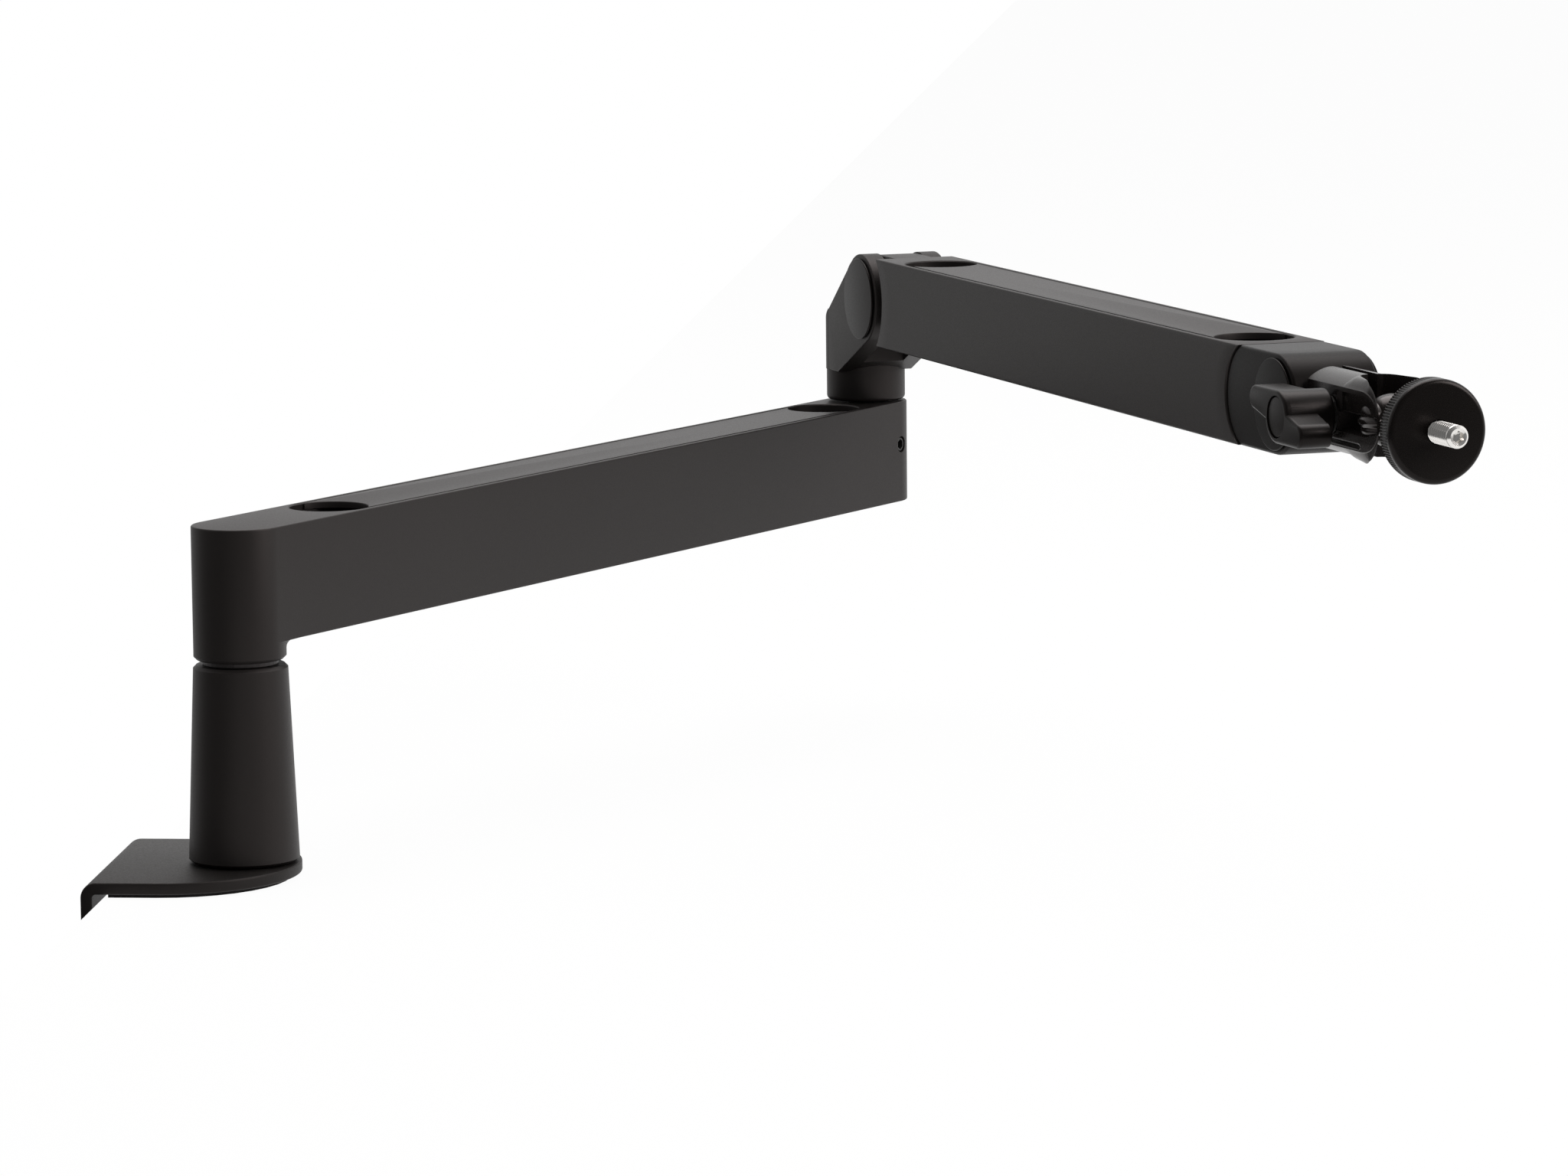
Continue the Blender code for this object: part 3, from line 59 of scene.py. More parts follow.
# Fineness of the surfaces
AROUND = 96  # points round a turned piece
HALF_TURN = 48  # points round half a turn
SMALL_TURN = 40  # points round a small turned piece
ROUNDING = 4  # rows over one rounded edge
FILLET_ROUNDING = 6  # rows over the boss's fillet and the wrist block's edges
SOFT_ROUNDING = 8  # rows over a large rounded edge
# FAN + RUN points lie along an arm's side; about FAN of them fan out from the riser's axis
FAN = 24
FAN_END = math.radians(12)
RUN = 16
WALL_ROWS = 33
PLATE_ROWS = 5
BEND_ROWS = 12
WELD = 0.002 * MM
SHARP = math.radians(28)
NEAR_ZERO = 1e-3

# Desk clamp
PLATE_THICK = 3.4 * MM
PLATE_WIDTH = 72.5 * MM
PLATE_FRONT = 16.35 * MM  # riser axis to the plate's round end
LIP_BACK = 41.3 * MM
BEND_RADIUS = 4.5 * MM
WEB_WIDTH = 44.0 * MM
WEB_SHOULDER = 12.0 * MM
WEB_TAPER = 28.0 * MM
JAW_REACH = 46.0 * MM
JAW_CORNER = 3.0 * MM
SHEET_EDGE = 0.6 * MM  # rounding of the sheet's edges
SCREW_PITCH = 3.0 * MM
SCREW_THREAD = 0.9 * MM
THREAD_FLAT = 0.125  # share of a thread's V cut off at its crest and at its root
NUT_BORE = 4.3 * MM
NUT_BODY = 8.0 * MM
NUT_FLANGE = 2.0 * MM
KNOB_LOBES = 6
KNOB_LOBE_DEPTH = 2.2 * MM
KNOB_EDGE = 3.0 * MM

# Riser and lower arm
RISER_TOP_RADIUS = 13.7 * MM
RISER_CHAMFER = 0.9 * MM
RISER_FOOT_CHAMFER = 0.7 * MM
PIN_BORE = 6.3 * MM
HALF_ARM = 13.5 * MM
ARM_EDGE = 0.5 * MM  # rounding of the arms' long edges
BOSS_RADIUS = 13.3 * MM
BOSS_HEIGHT = 5.4 * MM
BOSS_FILLET = 2.4 * MM
BOSS_BLEND = math.radians(20)  # turn over which the wall becomes the boss
FILLET_SHARE = 0.85  # of the room between the boss and the wall
EDGE_SHARE = 0.12
BUSH_BORE = 8.3 * MM
BUSH_DEPTH = 26.0 * MM
CABLE_HOLE = 11.65 * MM
HOLE_EDGE = 0.35 * MM
RECESS_HALF = 11.8 * MM
RECESS_DEPTH = 2.2 * MM
COVER_HALF = 11.1 * MM
COVER_EDGE = 0.3 * MM
CHANNEL_HALF = 9.65 * MM
LOWER_HOLE_NEAR_RISER = 45.8 * MM
LOWER_HOLE_TO_ELBOW = 28.3 * MM
LOWER_CHANNEL_DEPTH = 25.0 * MM
SET_SCREW_BORE = 2.7 * MM
SET_SCREW_RADIUS = 2.45 * MM
SET_SCREW_SINK = 0.5 * MM
SET_SCREW_CHAMFER = 0.35 * MM
SET_SCREW_SOCKET = 1.75 * MM
SET_SCREW_SOCKET_DEPTH = 2.5 * MM
SET_SCREW_BELOW_TOP = 14.3 * MM

# Elbow
COLLAR_RADIUS = 13.0 * MM
COLLAR_ROUND = 1.4 * MM
CHEEK_HALF = 13.2 * MM
CHEEK_LEDGE = 10.2 * MM  # collar's bottom to the cheeks' lower edge
CHEEK_EDGE = 0.5 * MM
BACK_SLOPE = math.radians(37.6)
FRONT_SLOPE = math.radians(24.1)
FORK_HALF = 7.0 * MM
FORK_BACK = 14.5 * MM  # tilt axis back to the floor of the fork
TONGUE_HALF = 6.7 * MM
TONGUE_BELOW = 0.05 * MM  # the arm's top to the tongue's
HINGE_CAP_RADIUS = 13.2 * MM
HINGE_CAP_STUB = 11.5 * MM
CAP_GROOVE = 0.3 * MM
CAP_SEAT = 1.5 * MM
CAP_THICK = 1.2 * MM
CAP_EDGE = 0.3 * MM
CAP_STAND = 0.55 * MM  # shadow gap behind a joint's cap
CAP_RIM = 0.45 * MM

# Upper arm, from the tilt axis
UPPER_HOLE_NEAR_ELBOW = 40.0 * MM
UPPER_HOLE_TO_WRIST = 26.0 * MM
UPPER_HOLE_FLOOR = 7.5 * MM  # above the arm's middle
UPPER_CHANNEL_DEPTH = 21.0 * MM
ELBOW_HOLLOW = 6.5 * MM  # radius of a hollow end beyond half the arm's height
WRIST_HOLLOW = 1.3 * MM
CHANNEL_FROM_SCALLOP = 22.05 * MM
PLUG_SCREW_HEAD = 3.8 * MM
PLUG_SCREW_TIP = 0.5 * MM
PLUG_SCREW_IN = 5.25 * MM  # scallop's edge to a plug screw

# Wrist, from its axis
BLOCK_HALF = 13.0 * MM
BLOCK_CLEARANCE = 0.25 * MM
BLOCK_EDGE = 0.9 * MM
BLOCK_FRONT = 19.1 * MM  # wrist axis to the centre of the round front
EYE_SEAT = 9.5 * MM
EYE_HALF = 5.0 * MM
EYE_MOUTH = 101.5  # degrees from the front to the slot's mouth
EYE_MOUTH_POINTS = 2  # of the round back, kept at each side of the mouth
WRIST_CAP_RADIUS = 13.0 * MM
WRIST_CAP_STUB = 9.5 * MM
JAW_BOLT_AT = 48.2 * MM
JAW_EDGE = 0.7 * MM
JAW_START = 32.6 * MM
JAW_NOSE = 79.0 * MM
JAW_ROUND = 68.0 * MM  # where the jaws' ends start to round off
JAW_HEIGHT = 11.5 * MM  # half the jaws' height
JAW_NOSE_HEIGHT = 2.2 * MM
JAW_NOSE_SHARE = 0.12  # of the dome and the lips, left at the nose
JAW_NOSE_WALL = 0.2 * MM
JAW_WIDTH = 9.0 * MM  # half the jaws' width
JAW_DOME = 2.9 * MM  # fall of the top from the gap to the lip
JAW_LIP = 1.5 * MM
JAW_LOW_LIP = 4.6 * MM
# Sections up to the pocket, to the gape, to the round end and over it
JAW_STATIONS = (10, 12, 24, 20)
JAW_SIDE_ROWS = 61
JAW_LIP_ROWS = 21
JAW_SLIT_LEVEL = -7.0 * MM
JAW_SLIT_DEPTH = 0.9 * MM
JAW_SLIT_END = 66.0 * MM
JAW_SLIT_FADE = 2.0 * MM
JAW_BEVEL = 0.25 * MM
JAW_SLOT = 1.4 * MM
JAW_GAPE = 58.0 * MM
JAW_GAPE_HALF = 4.8 * MM
JAW_OPENING = 4.0 * MM  # length over which the slot becomes the gape
JAW_FLARE = 3.8 * MM  # how much the gape widens to its front
JAW_FLARE_END = 73.0 * MM
JAW_POCKET = 53.5 * MM
JAW_SHELF_DEPTH = 1.1 * MM
JAW_POCKET_DEPTH = 4.6 * MM
JAW_POCKET_TOP = 1.6 * MM
JAW_POCKET_LOW = -3.6 * MM
JAW_STEP = 0.4 * MM  # width of a step in the pocket
JAW_SOCKET = 7.7 * MM
JAW_BULGE = 9.0 * MM
JAW_WALL = 0.7 * MM
JAW_RIB = 0.45 * MM
JAW_RIB_HALF = 0.7 * MM
JAW_RIB_GROOVE = 1.5 * MM  # from the ball's level to the grooves beside the rib
JAW_RIB_START = 4.5 * MM  # swell at which the rib starts, and at which it is full
JAW_RIB_FULL = 7.2 * MM
JAW_ROOT = 30.0 * MM
JAW_ROOT_END = 38.0 * MM
JAW_ROOT_HEIGHT = 8.0 * MM
JAW_ROOT_WIDTH = 6.6 * MM

# Wing knob
WING_FACE = 25.6 * MM
WING_DEPTH = 15.0 * MM
WING_BLADE = 9.6 * MM
WING_HUB = 7.4 * MM
WING_BACK = 18.4 * MM
WING_FRONT = 17.2 * MM
WING_INNER_EDGE = -0.6 * MM
WING_EDGE = 0.9 * MM
WING_STEPS = 16
WING_HUB_START = 10  # degrees from a wing's edge to the hub's round
WING_CAP_RADIUS = 5.6 * MM

# Ball, disc and stud, from the ball's centre
BALL_RADIUS = 7.5 * MM
NECK_RADIUS = 4.2 * MM
NECK_FLARE = 2.2 * MM
DISC_FACE = 30.0 * MM
DISC_THICK = 7.0 * MM
DISC_RADIUS = 14.35 * MM
DISC_FRONT_ROUND = 1.5 * MM
DISC_BACK_CHAMFER = 0.6 * MM
KNURLS = 110
KNURL_POINTS = 8
KNURL_DEPTH = 0.32 * MM
KNURL_START = 0.9 * MM  # from the disc's back
KNURL_END = 4.4 * MM
STUD_RADIUS = 3.175 * MM
STUD_LENGTH = 12.7 * MM
STUD_ROOT = 8.0 * MM  # length in the ball's neck
STUD_PITCH = 1.27 * MM
STUD_THREAD = 0.70 * MM
STUD_CHAMFER = 0.8 * MM
STUD_SOCKET = 1.75 * MM
STUD_SOCKET_DEPTH = 2.5 * MM
STUD_SOCKET_EDGE = 0.15 * MM
STUD_SOCKET_CONE = 0.6 * MM

# Finishes
GLOSS_TINT = (1.0, 0.90, 0.88)
DRIFT = 60 * MM  # length of the slow drifts in a finish
NOISE_LOW, NOISE_HIGH = 0.3, 0.7

# The photograph's camera, in the model's frame
CAMERA_AT = (0.3198, -1.8477, 0.3445)
CAMERA_YAW = -0.0878
CAMERA_PITCH = math.radians(7.97)
CAMERA_ROLL = -0.0095
IMAGE_WIDTH = 2048
FOCAL_PIXELS = 8578.5
SENSOR_MM = 36.0
FAR_CLIP = 20.0

# Studio
LAMPS = (("softbox_right", (1.6, -0.3, 0.9), 1.0, 20.0),  # place, size and watts
         ("softbox_left", (-1.2, -0.5, 0.8), 1.0, 1.5),
         ("softbox_top", (0.2, 0.6, 1.6), 1.4, 18.0))
LAMP_AIM = (0.16, 0.10, 0.08)
LAMP_TINT = (1.0, 0.96, 0.95)
WHITE = (1.0, 1.0, 1.0, 1.0)
WORLD_LIGHT = 0.45
DESK = (-0.035, 6.0, -0.45, 6.0)  # left, right, front and back edges
DESK_GREY = (0.82, 0.82, 0.82, 1.0)
DESK_ROUGHNESS = 0.9
DESK_GLOW = 0.96  # share of white in the desk as it is seen
# Where each side's walls are dim, where they are white, and how dim
DIM_SIDES = {"X": (-0.75, 0.0, 0.60), "Y": (-0.3, 0.45, 0.20)}

JOINT = {joint["name"]: joint for joint in frame["joints"]}
UP = np.array((0.0, 0.0, 1.0))
FLAT = np.array((1.0, 1.0, 0.0))


def joint_at(name):
    """A joint's place."""
    return np.array(JOINT[name]["pos_m"], float)


def flat_direction(start, end):
    """The level step from start to end, over its length."""
    step = (end - start) * FLAT
    return step / np.linalg.norm(step)


def levels(node):
    """Heights of a node's bottom and top."""
    low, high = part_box(node)
    return float(low.z), float(high.z)


def half_width(node):
    """Half of a node's size along x."""
    low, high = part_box(node)
    return (high.x - low.x) / 2


TILT = joint_at("elbow_tilt")
WRIST = joint_at("wrist_tilt")
BALL = joint_at("ball_tilt")
ELBOW = joint_at("elbow_swivel") * FLAT
SCREW_AT = joint_at("clamp_screw_turn") * FLAT
BASE = np.zeros(3)
LOWER_ALONG = flat_direction(BASE, ELBOW)
UPPER_ALONG = flat_direction(TILT, WRIST)
CLAMP_ALONG = np.array((1.0, 0.0, 0.0))
LOWER_REACH = float(np.linalg.norm(ELBOW))
UPPER_REACH = float(np.linalg.norm(WRIST - TILT))
HINGE_REACH = float(np.linalg.norm((TILT - ELBOW)[:2]))
LOWER_HOLES = (LOWER_HOLE_NEAR_RISER, LOWER_REACH - LOWER_HOLE_TO_ELBOW)
UPPER_HOLES = (UPPER_HOLE_NEAR_ELBOW, UPPER_REACH - UPPER_HOLE_TO_WRIST)

JAW_UNDER, PLATE_TOP = levels("clamp_bracket")
RISER_UNDER, RISER_TOP = levels("riser_column")
BOSS_UNDER, LOWER_TOP = levels("lower_arm_body")
LOWER_UNDER = BOSS_UNDER + BOSS_HEIGHT
SET_SCREW_AT = ELBOW + UP * (LOWER_TOP - SET_SCREW_BELOW_TOP)
UPPER_UNDER, UPPER_TOP = levels("upper_arm_body")
HALF_UPPER = (UPPER_TOP - UPPER_UNDER) / 2
ELBOW_SCALLOP = HALF_UPPER + ELBOW_HOLLOW
WRIST_SCALLOP = HALF_UPPER + WRIST_HOLLOW
BLOCK_BACK = WRIST_SCALLOP - BLOCK_CLEARANCE
COLLAR_UNDER, CHEEK_TOP = levels("elbow_bracket")
CHEEK_RADIUS = CHEEK_TOP - TILT[2]

# The clamp's strap, along its flat blank
BEND = BEND_RADIUS - PLATE_THICK / 2  # radius of the strap's middle
BLANK_PLATE = PLATE_FRONT + LIP_BACK - BEND_RADIUS
BLANK_BEND = BEND * math.pi / 2
WEB_TOP = PLATE_TOP - BEND_RADIUS
BLANK_WEB = WEB_TOP - JAW_UNDER - BEND_RADIUS


# Surfaces

def placed(points, origin, along):
    """Points of an arm's frame (along it, to its far side, up) in the model's frame."""
    side = np.cross(UP, along)
    return origin + points[..., :1] * along + points[..., 1:2] * side + points[..., 2:] * UP


def stack(*columns):
    """One array of points from coordinates that are broadcast to each other."""
    return np.stack(np.broadcast_arrays(*columns), axis=-1)


def skin(rows):
    """A grid of closed rows: its points and the quads between each row and the next."""
    count, around = rows.shape[:2]
    index = np.arange(count * around).reshape(count, around)
    ahead = np.roll(index, -1, axis=1)
    quads = np.stack((index[:-1], ahead[:-1], ahead[1:], index[1:]), axis=-1)
    return rows.reshape(-1, 3), quads.reshape(-1, 4)


def lid(rim, holes=()):
    """A flat face inside a closed row of points, less the rows of its holes, as triangles."""
    loops = [rim, *holes]
    points = np.concatenate(loops)
    corners = tessellate_polygon([[tuple(point) for point in loop] for loop in loops])
    return points, np.array(corners)


def capped(rows):
    """A skin closed by a flat face at each end."""
    return [skin(rows), lid(rows[0]), lid(rows[-1])]


def eased(value, start, end):
    """0 before start, 1 after end, and a smooth step between."""
    part = np.clip((value - start) / (end - start), 0, 1)
    return part * part * (3 - 2 * part)


def circle(count=AROUND):
    """Angles round a full turn, without its end."""
    return np.linspace(0, 2 * np.pi, count, endpoint=False)


def quarter(steps=ROUNDING):
    """Angles over a quarter turn, both ends included."""
    return np.linspace(0, np.pi / 2, steps + 1)


def arc(centre, radius, start, end, steps=HALF_TURN):
    """Points on an arc in its plane; angles in degrees, both ends included."""
    angle = np.radians(np.linspace(start, end, steps + 1))
    return stack(centre[0] + radius * np.cos(angle), centre[1] + radius * np.sin(angle))


def inset(outline, depth):
    """A closed counter-clockwise outline moved inwards: each corner goes along its two edges' mitre."""
    edge = np.roll(outline, -1, axis=0) - outline
    edge = edge / np.linalg.norm(edge, axis=1, keepdims=True)
    normal = stack(edge[:, 1], -edge[:, 0])
    before = np.roll(normal, 1, axis=0)
    mitre = (normal + before) / (1 + np.sum(normal * before, axis=1, keepdims=True))
    return outline - depth * mitre


def wheel(reach, height, angle, axis, origin, along):
    """Points at a reach from the axis x, y or z of an arm's frame and a height along it, at each angle."""
    across, over = reach * np.cos(angle), reach * np.sin(angle)
    order = {"x": (height, across, over), "y": (across, height, over), "z": (across, over, height)}
    return placed(stack(*order[axis]), origin, along)


def turned(profile, angle, axis, origin, along):
    """A row round the axis for each (reach, height) of a profile; a reach may vary with the angle."""
    return np.array([wheel(reach, height, angle, axis, origin, along) for reach, height in profile])


def spun(profile, axis, origin, along, around=AROUND):
    """A turned skin: every (radius, height) of the profile is carried round the axis."""
    return skin(turned(profile, circle(around), axis, origin, along))


def round_over(edge, steps=ROUNDING):
    """The rows over a rounded edge: insets e(1 - sin t) and drops e(1 - cos t), t over a quarter turn."""
    return [(edge * (1 - np.sin(t)), edge * (1 - np.cos(t))) for t in quarter(steps)]


def rounded(radius, height, edge, steps=ROUNDING):
    """The corner of a turned profile at a radius and a height, going up and then in."""
    return [(radius - depth, height - drop) for drop, depth in round_over(edge, steps)]


def levelled(rows, origin, along):
    """Rows of points from pairs of a flat outline and its height, or the height of each of its points."""
    return placed(np.array([stack(*flat.T, height) for flat, height in rows]), origin, along)


def slab(outline, low, high, edges, plane, origin, along, low_holes=()):
    """A plate with an outline in the plane xy or xz, from low to high, its two rims rounded over."""
    rows = []
    for end, edge, sign in ((low, edges[0], 1), (high, edges[1], -1)):
        for depth, drop in round_over(edge)[::sign]:
            flat = inset(outline, depth)
            height = end + sign * drop
            order = (flat[:, 0], flat[:, 1], height) if plane == "xy" else (flat[:, 0], height, flat[:, 1])
            rows.append(stack(*order))
    points = placed(np.array(rows), origin, along)
    return [skin(points), lid(points[0], low_holes), lid(points[-1])]


def added(name, data):
    """A new object in the scene."""
    made = bpy.data.objects.new(name, data)
    bpy.context.scene.collection.objects.link(made)
    return made


def welded(name, skins):
    """A mesh of skins, welded where they meet and faced outwards."""
    work = bmesh.new()
    mesh = bpy.data.meshes.new(name)
    for points, faces in skins:
        mesh.clear_geometry()
        mesh.from_pydata(points.tolist(), [], faces.tolist())
        work.from_mesh(mesh)
    bmesh.ops.remove_doubles(work, verts=work.verts, dist=WELD)
    bmesh.ops.dissolve_degenerate(work, edges=work.edges, dist=WELD)
    bmesh.ops.recalc_face_normals(work, faces=work.faces)
    work.to_mesh(mesh)
    work.free()
    return mesh


def piece(name, skins, body, slot, node, finish=None, bores=()):
    """One object from skins, drilled, smooth but for its sharp edges, in place of a node.

    It takes the finish of its slot unless it is given another.
    """
    made = added(name, welded(name, skins))
    for cutter in bores:
        drill(made, cutter)
    made.data.shade_smooth()
    made.data.set_sharp_from_angle(angle=SHARP)
    made.data.materials.clear()
    made.data.materials.append(FINISHES[slot] if finish is None else finish)
    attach(made, body)
    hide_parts(node)


def drill(made, cutter):
    """Cut a closed skin out of a piece, and keep the result as the piece's own mesh."""
    tool = added("drill", welded("drill", [cutter]))
    cut = made.modifiers.new("drill", "BOOLEAN")
    cut.operation = "DIFFERENCE"
    cut.solver = "EXACT"
    cut.object = tool
    bpy.context.view_layer.update()
    drawn = made.evaluated_get(bpy.context.evaluated_depsgraph_get())
    whole = bpy.data.meshes.new_from_object(drawn)
    made.modifiers.clear()
    made.data = whole
    bpy.data.objects.remove(tool, do_unlink=True)


# Finishes

def socket(node, name):
    """The input of that name that is in use: a mix node has one for each kind of data."""
    return next(item for item in node.inputs if item.name == name and item.enabled)


def filled(node, values):
    """A shader node with its inputs set by their names."""
    for name, value in values.items():
        node.inputs[name].default_value = value
    return node


def coating(name, colour, roughness, metallic=0.0, specular=0.5, grain=0.4 * MM, depth=0.02 * MM,
            mottle=0.12, rough_spread=0.06):
    """A finish with fine grain in its bump and slow drifts in its colour and roughness."""
    made = bpy.data.materials.new(name)
    made.use_nodes = True
    nodes, links = made.node_tree.nodes, made.node_tree.links
    tint = (*GLOSS_TINT, 1) if metallic == 0 else WHITE
    shader = filled(nodes["Principled BSDF"], {"Metallic": metallic, "Specular IOR Level": specular,
                                               "Specular Tint": tint})
    place = nodes.new("ShaderNodeTexCoord").outputs["Object"]

    drift = filled(nodes.new("ShaderNodeTexNoise"), {"Scale": 1 / DRIFT, "Detail": 4.0})
    links.new(place, drift.inputs["Vector"])
    shade = nodes.new("ShaderNodeMix")
    shade.data_type = "RGBA"
    socket(shade, "A").default_value = (*[c * (1 - mottle) for c in colour], 1)
    socket(shade, "B").default_value = (*[c * (1 + mottle) for c in colour], 1)
    links.new(drift.outputs["Fac"], socket(shade, "Factor"))
    links.new(next(out for out in shade.outputs if out.enabled), shader.inputs["Base Color"])

    fine = filled(nodes.new("ShaderNodeTexNoise"), {"Scale": 1 / grain, "Detail": 3.0, "Roughness": 0.6})
    links.new(place, fine.inputs["Vector"])
    spread = filled(nodes.new("ShaderNodeMapRange"), {
        "From Min": NOISE_LOW, "From Max": NOISE_HIGH,
        "To Min": roughness - rough_spread, "To Max": roughness + rough_spread})
    links.new(fine.outputs["Fac"], spread.inputs["Value"])
    links.new(spread.outputs["Result"], shader.inputs["Roughness"])
    bump = filled(nodes.new("ShaderNodeBump"), {"Strength": 1.0, "Distance": depth})
    links.new(fine.outputs["Fac"], bump.inputs["Height"])
    links.new(bump.outputs["Normal"], shader.inputs["Normal"])
    return made


ARM_BLACK = coating("arm_black_anodised", (0.0098, 0.0087, 0.0082), 0.46, specular=0.26,
                    grain=0.30 * MM, depth=0.010 * MM)
PLATE_BLACK = coating("plate_black_powder_coat", (0.0075, 0.0068, 0.0064), 0.50, specular=0.20,
                      grain=0.45 * MM, depth=0.020 * MM)
CAST_BLACK = coating("jaw_black_gloss_paint", (0.0070, 0.0060, 0.0055), 0.24, specular=0.42,
                     grain=0.8 * MM, depth=0.005 * MM, rough_spread=0.04)
DISC_BLACK = coating("disc_black_anodised", (0.0034, 0.0028, 0.0024), 0.26, specular=0.18,
                     grain=0.25 * MM, depth=0.003 * MM, rough_spread=0.04)
MOULDED_BLACK = coating("moulded_black_plastic", (0.0040, 0.0034, 0.0030), 0.34, specular=0.16,
                        grain=0.35 * MM, depth=0.006 * MM)
BLOCK_BLACK = coating("wrist_black_plastic", (0.0034, 0.0029, 0.0026), 0.40, specular=0.09,
                      grain=0.35 * MM, depth=0.006 * MM)
PAD_RUBBER = coating("pad_dark_rubber", (0.012, 0.012, 0.012), 0.85, specular=0.3,
                     grain=0.6 * MM, depth=0.05 * MM)
PLAIN_STEEL = coating("zinc_plated_steel", (0.58, 0.57, 0.55), 0.34, metallic=1.0,
                      grain=0.5 * MM, depth=0.006 * MM, mottle=0.06)
BRIGHT_STEEL = coating("bright_plated_steel", (0.84, 0.82, 0.79), 0.20, metallic=1.0,
                       grain=0.3 * MM, depth=0.003 * MM, mottle=0.04, rough_spread=0.05)
BLACK_STEEL = coating("black_oxide_steel", (0.030, 0.029, 0.028), 0.36, metallic=0.6,
                      grain=0.4 * MM, depth=0.006 * MM)
BEARING_PLASTIC = coating("dark_bearing_plastic", (0.022, 0.022, 0.023), 0.42, grain=0.5 * MM,
                          depth=0.01 * MM, mottle=0.08)
FINISHES = {"black_steel": PLATE_BLACK, "black_arm": ARM_BLACK, "black_cast": CAST_BLACK,
            "black_plastic": MOULDED_BLACK, "bearing_plastic": BEARING_PLASTIC, "dark_rubber": PAD_RUBBER,
            "plain_steel": PLAIN_STEEL, "bright_stud": BRIGHT_STEEL}


# Desk clamp

def bent_sheet(along, across, out):
    """A point of the flat blank on the bent strap.

    along runs from the plate's tip over the plate, a quarter bend, the web, a quarter bend and the
    lower jaw. across is the strap's y and out the distance from its middle surface.
    """
    rest = along - BLANK_PLATE
    first = np.clip(rest / BEND, 0, np.pi / 2)
    down = np.clip(rest - BLANK_BEND, 0, BLANK_WEB)
    second = np.clip((rest - BLANK_BEND - BLANK_WEB) / BEND, 0, np.pi / 2)
    jaw = np.maximum(rest - 2 * BLANK_BEND - BLANK_WEB, 0)
    lean = first + second
    x = PLATE_FRONT - np.minimum(along, BLANK_PLATE) + BEND * (1 - np.cos(second) - np.sin(first)) + jaw
    z = PLATE_TOP - PLATE_THICK / 2 - BEND * (1 - np.cos(first)) - down - BEND * np.sin(second)
    return stack(x - out * np.sin(lean), across, z + out * np.cos(lean))


def clamp_bracket():
    """The strap's blank has a half-round tip and narrows down the web; its rim is rounded all round."""
    half, narrow = PLATE_WIDTH / 2, WEB_WIDTH / 2
    shoulder = BLANK_PLATE + BLANK_BEND + WEB_TOP + WEB_SHOULDER
    taper = [shoulder, shoulder + WEB_TAPER]
    jaw = BLANK_PLATE + BLANK_BEND + BLANK_WEB
    end = jaw + BLANK_BEND + JAW_REACH - BEND_RADIUS
    tip = arc((half, 0), half, 180, 90)
    bend = np.linspace(0, BLANK_BEND, BEND_ROWS + 1)
    runs = np.concatenate((np.linspace(half, BLANK_PLATE, PLATE_ROWS + 1)[1:], BLANK_PLATE + bend[1:],
                           taper, jaw + bend))
    sides = stack(runs, np.interp(runs, taper, [half, narrow]))
    last = arc((end - JAW_CORNER, narrow - JAW_CORNER), JAW_CORNER, 90, 0, SOFT_ROUNDING)
    upper = np.concatenate((tip[1:], sides, last))
    outline = np.concatenate(([(0, 0)], upper, upper[::-1] * (1, -1)))[::-1]
    thick = PLATE_THICK / 2
    spine = stack(np.clip(outline[:, 0], half / 2, end - 2 * JAW_CORNER), 0.0)
    rows, outs = [spine], [thick]
    for depth, drop in round_over(SHEET_EDGE):
        rows.append(inset(outline, depth))
        outs.append(thick - drop)
    rows += rows[:0:-1] + [spine]
    outs += [-out for out in outs[:0:-1]] + [-thick]
    flat = np.array(rows)
    points = bent_sheet(flat[..., 0], flat[..., 1], np.array(outs)[:, None])
    piece("clamp_strap", [skin(points)], "clamp", "black_steel", "clamp_bracket")


def thread(radius, depth, pitch, ends, axis, origin, along, around=SMALL_TURN, per_turn=8):
    """A screw thread: the radius falls by depth in a rounded V that climbs one pitch in each turn."""
    low, high = ends
    height = np.linspace(low, high, int((high - low) / pitch * per_turn) + 1)[:, None]
    angle = circle(around)
    wave = np.abs(((height / pitch - angle / (2 * np.pi)) % 1.0) * 2 - 1)
    run_out = np.clip(np.minimum(height - low, high - height) / pitch, 0, 1)
    groove = np.clip((1 + 2 * THREAD_FLAT) * (1 - wave) - THREAD_FLAT, 0, 1)
    return wheel(radius - depth * groove * run_out, height, angle, axis, origin, along)


def clamp_screw():
    """A thread over the whole length, with flat ends."""
    rows = thread(half_width("clamp_screw"), SCREW_THREAD, SCREW_PITCH, levels("clamp_screw"), "z",
                  SCREW_AT, CLAMP_ALONG)
    piece("clamp_screw_thread", capped(rows), "clamp_handle", "plain_steel", "clamp_screw")


def clamp_knob():
    """A lobed grip: its radius swings with the cosine of six times the angle, and its rims are round."""
    low, high = levels("clamp_knob")
    angle = circle(2 * AROUND)
    lobes = half_width("clamp_knob") - KNOB_LOBE_DEPTH / 2 * (1 - np.cos(KNOB_LOBES * angle))
    edge = round_over(KNOB_EDGE, SOFT_ROUNDING)
    profile = [(lobes - depth, low + drop) for depth, drop in edge]
    profile += [(lobes - depth, high - drop) for depth, drop in edge[::-1]]
    rows = turned(profile, angle, "z", SCREW_AT, CLAMP_ALONG)
    piece("clamp_hand_knob", capped(rows), "clamp_handle", "black_plastic", "clamp_knob")


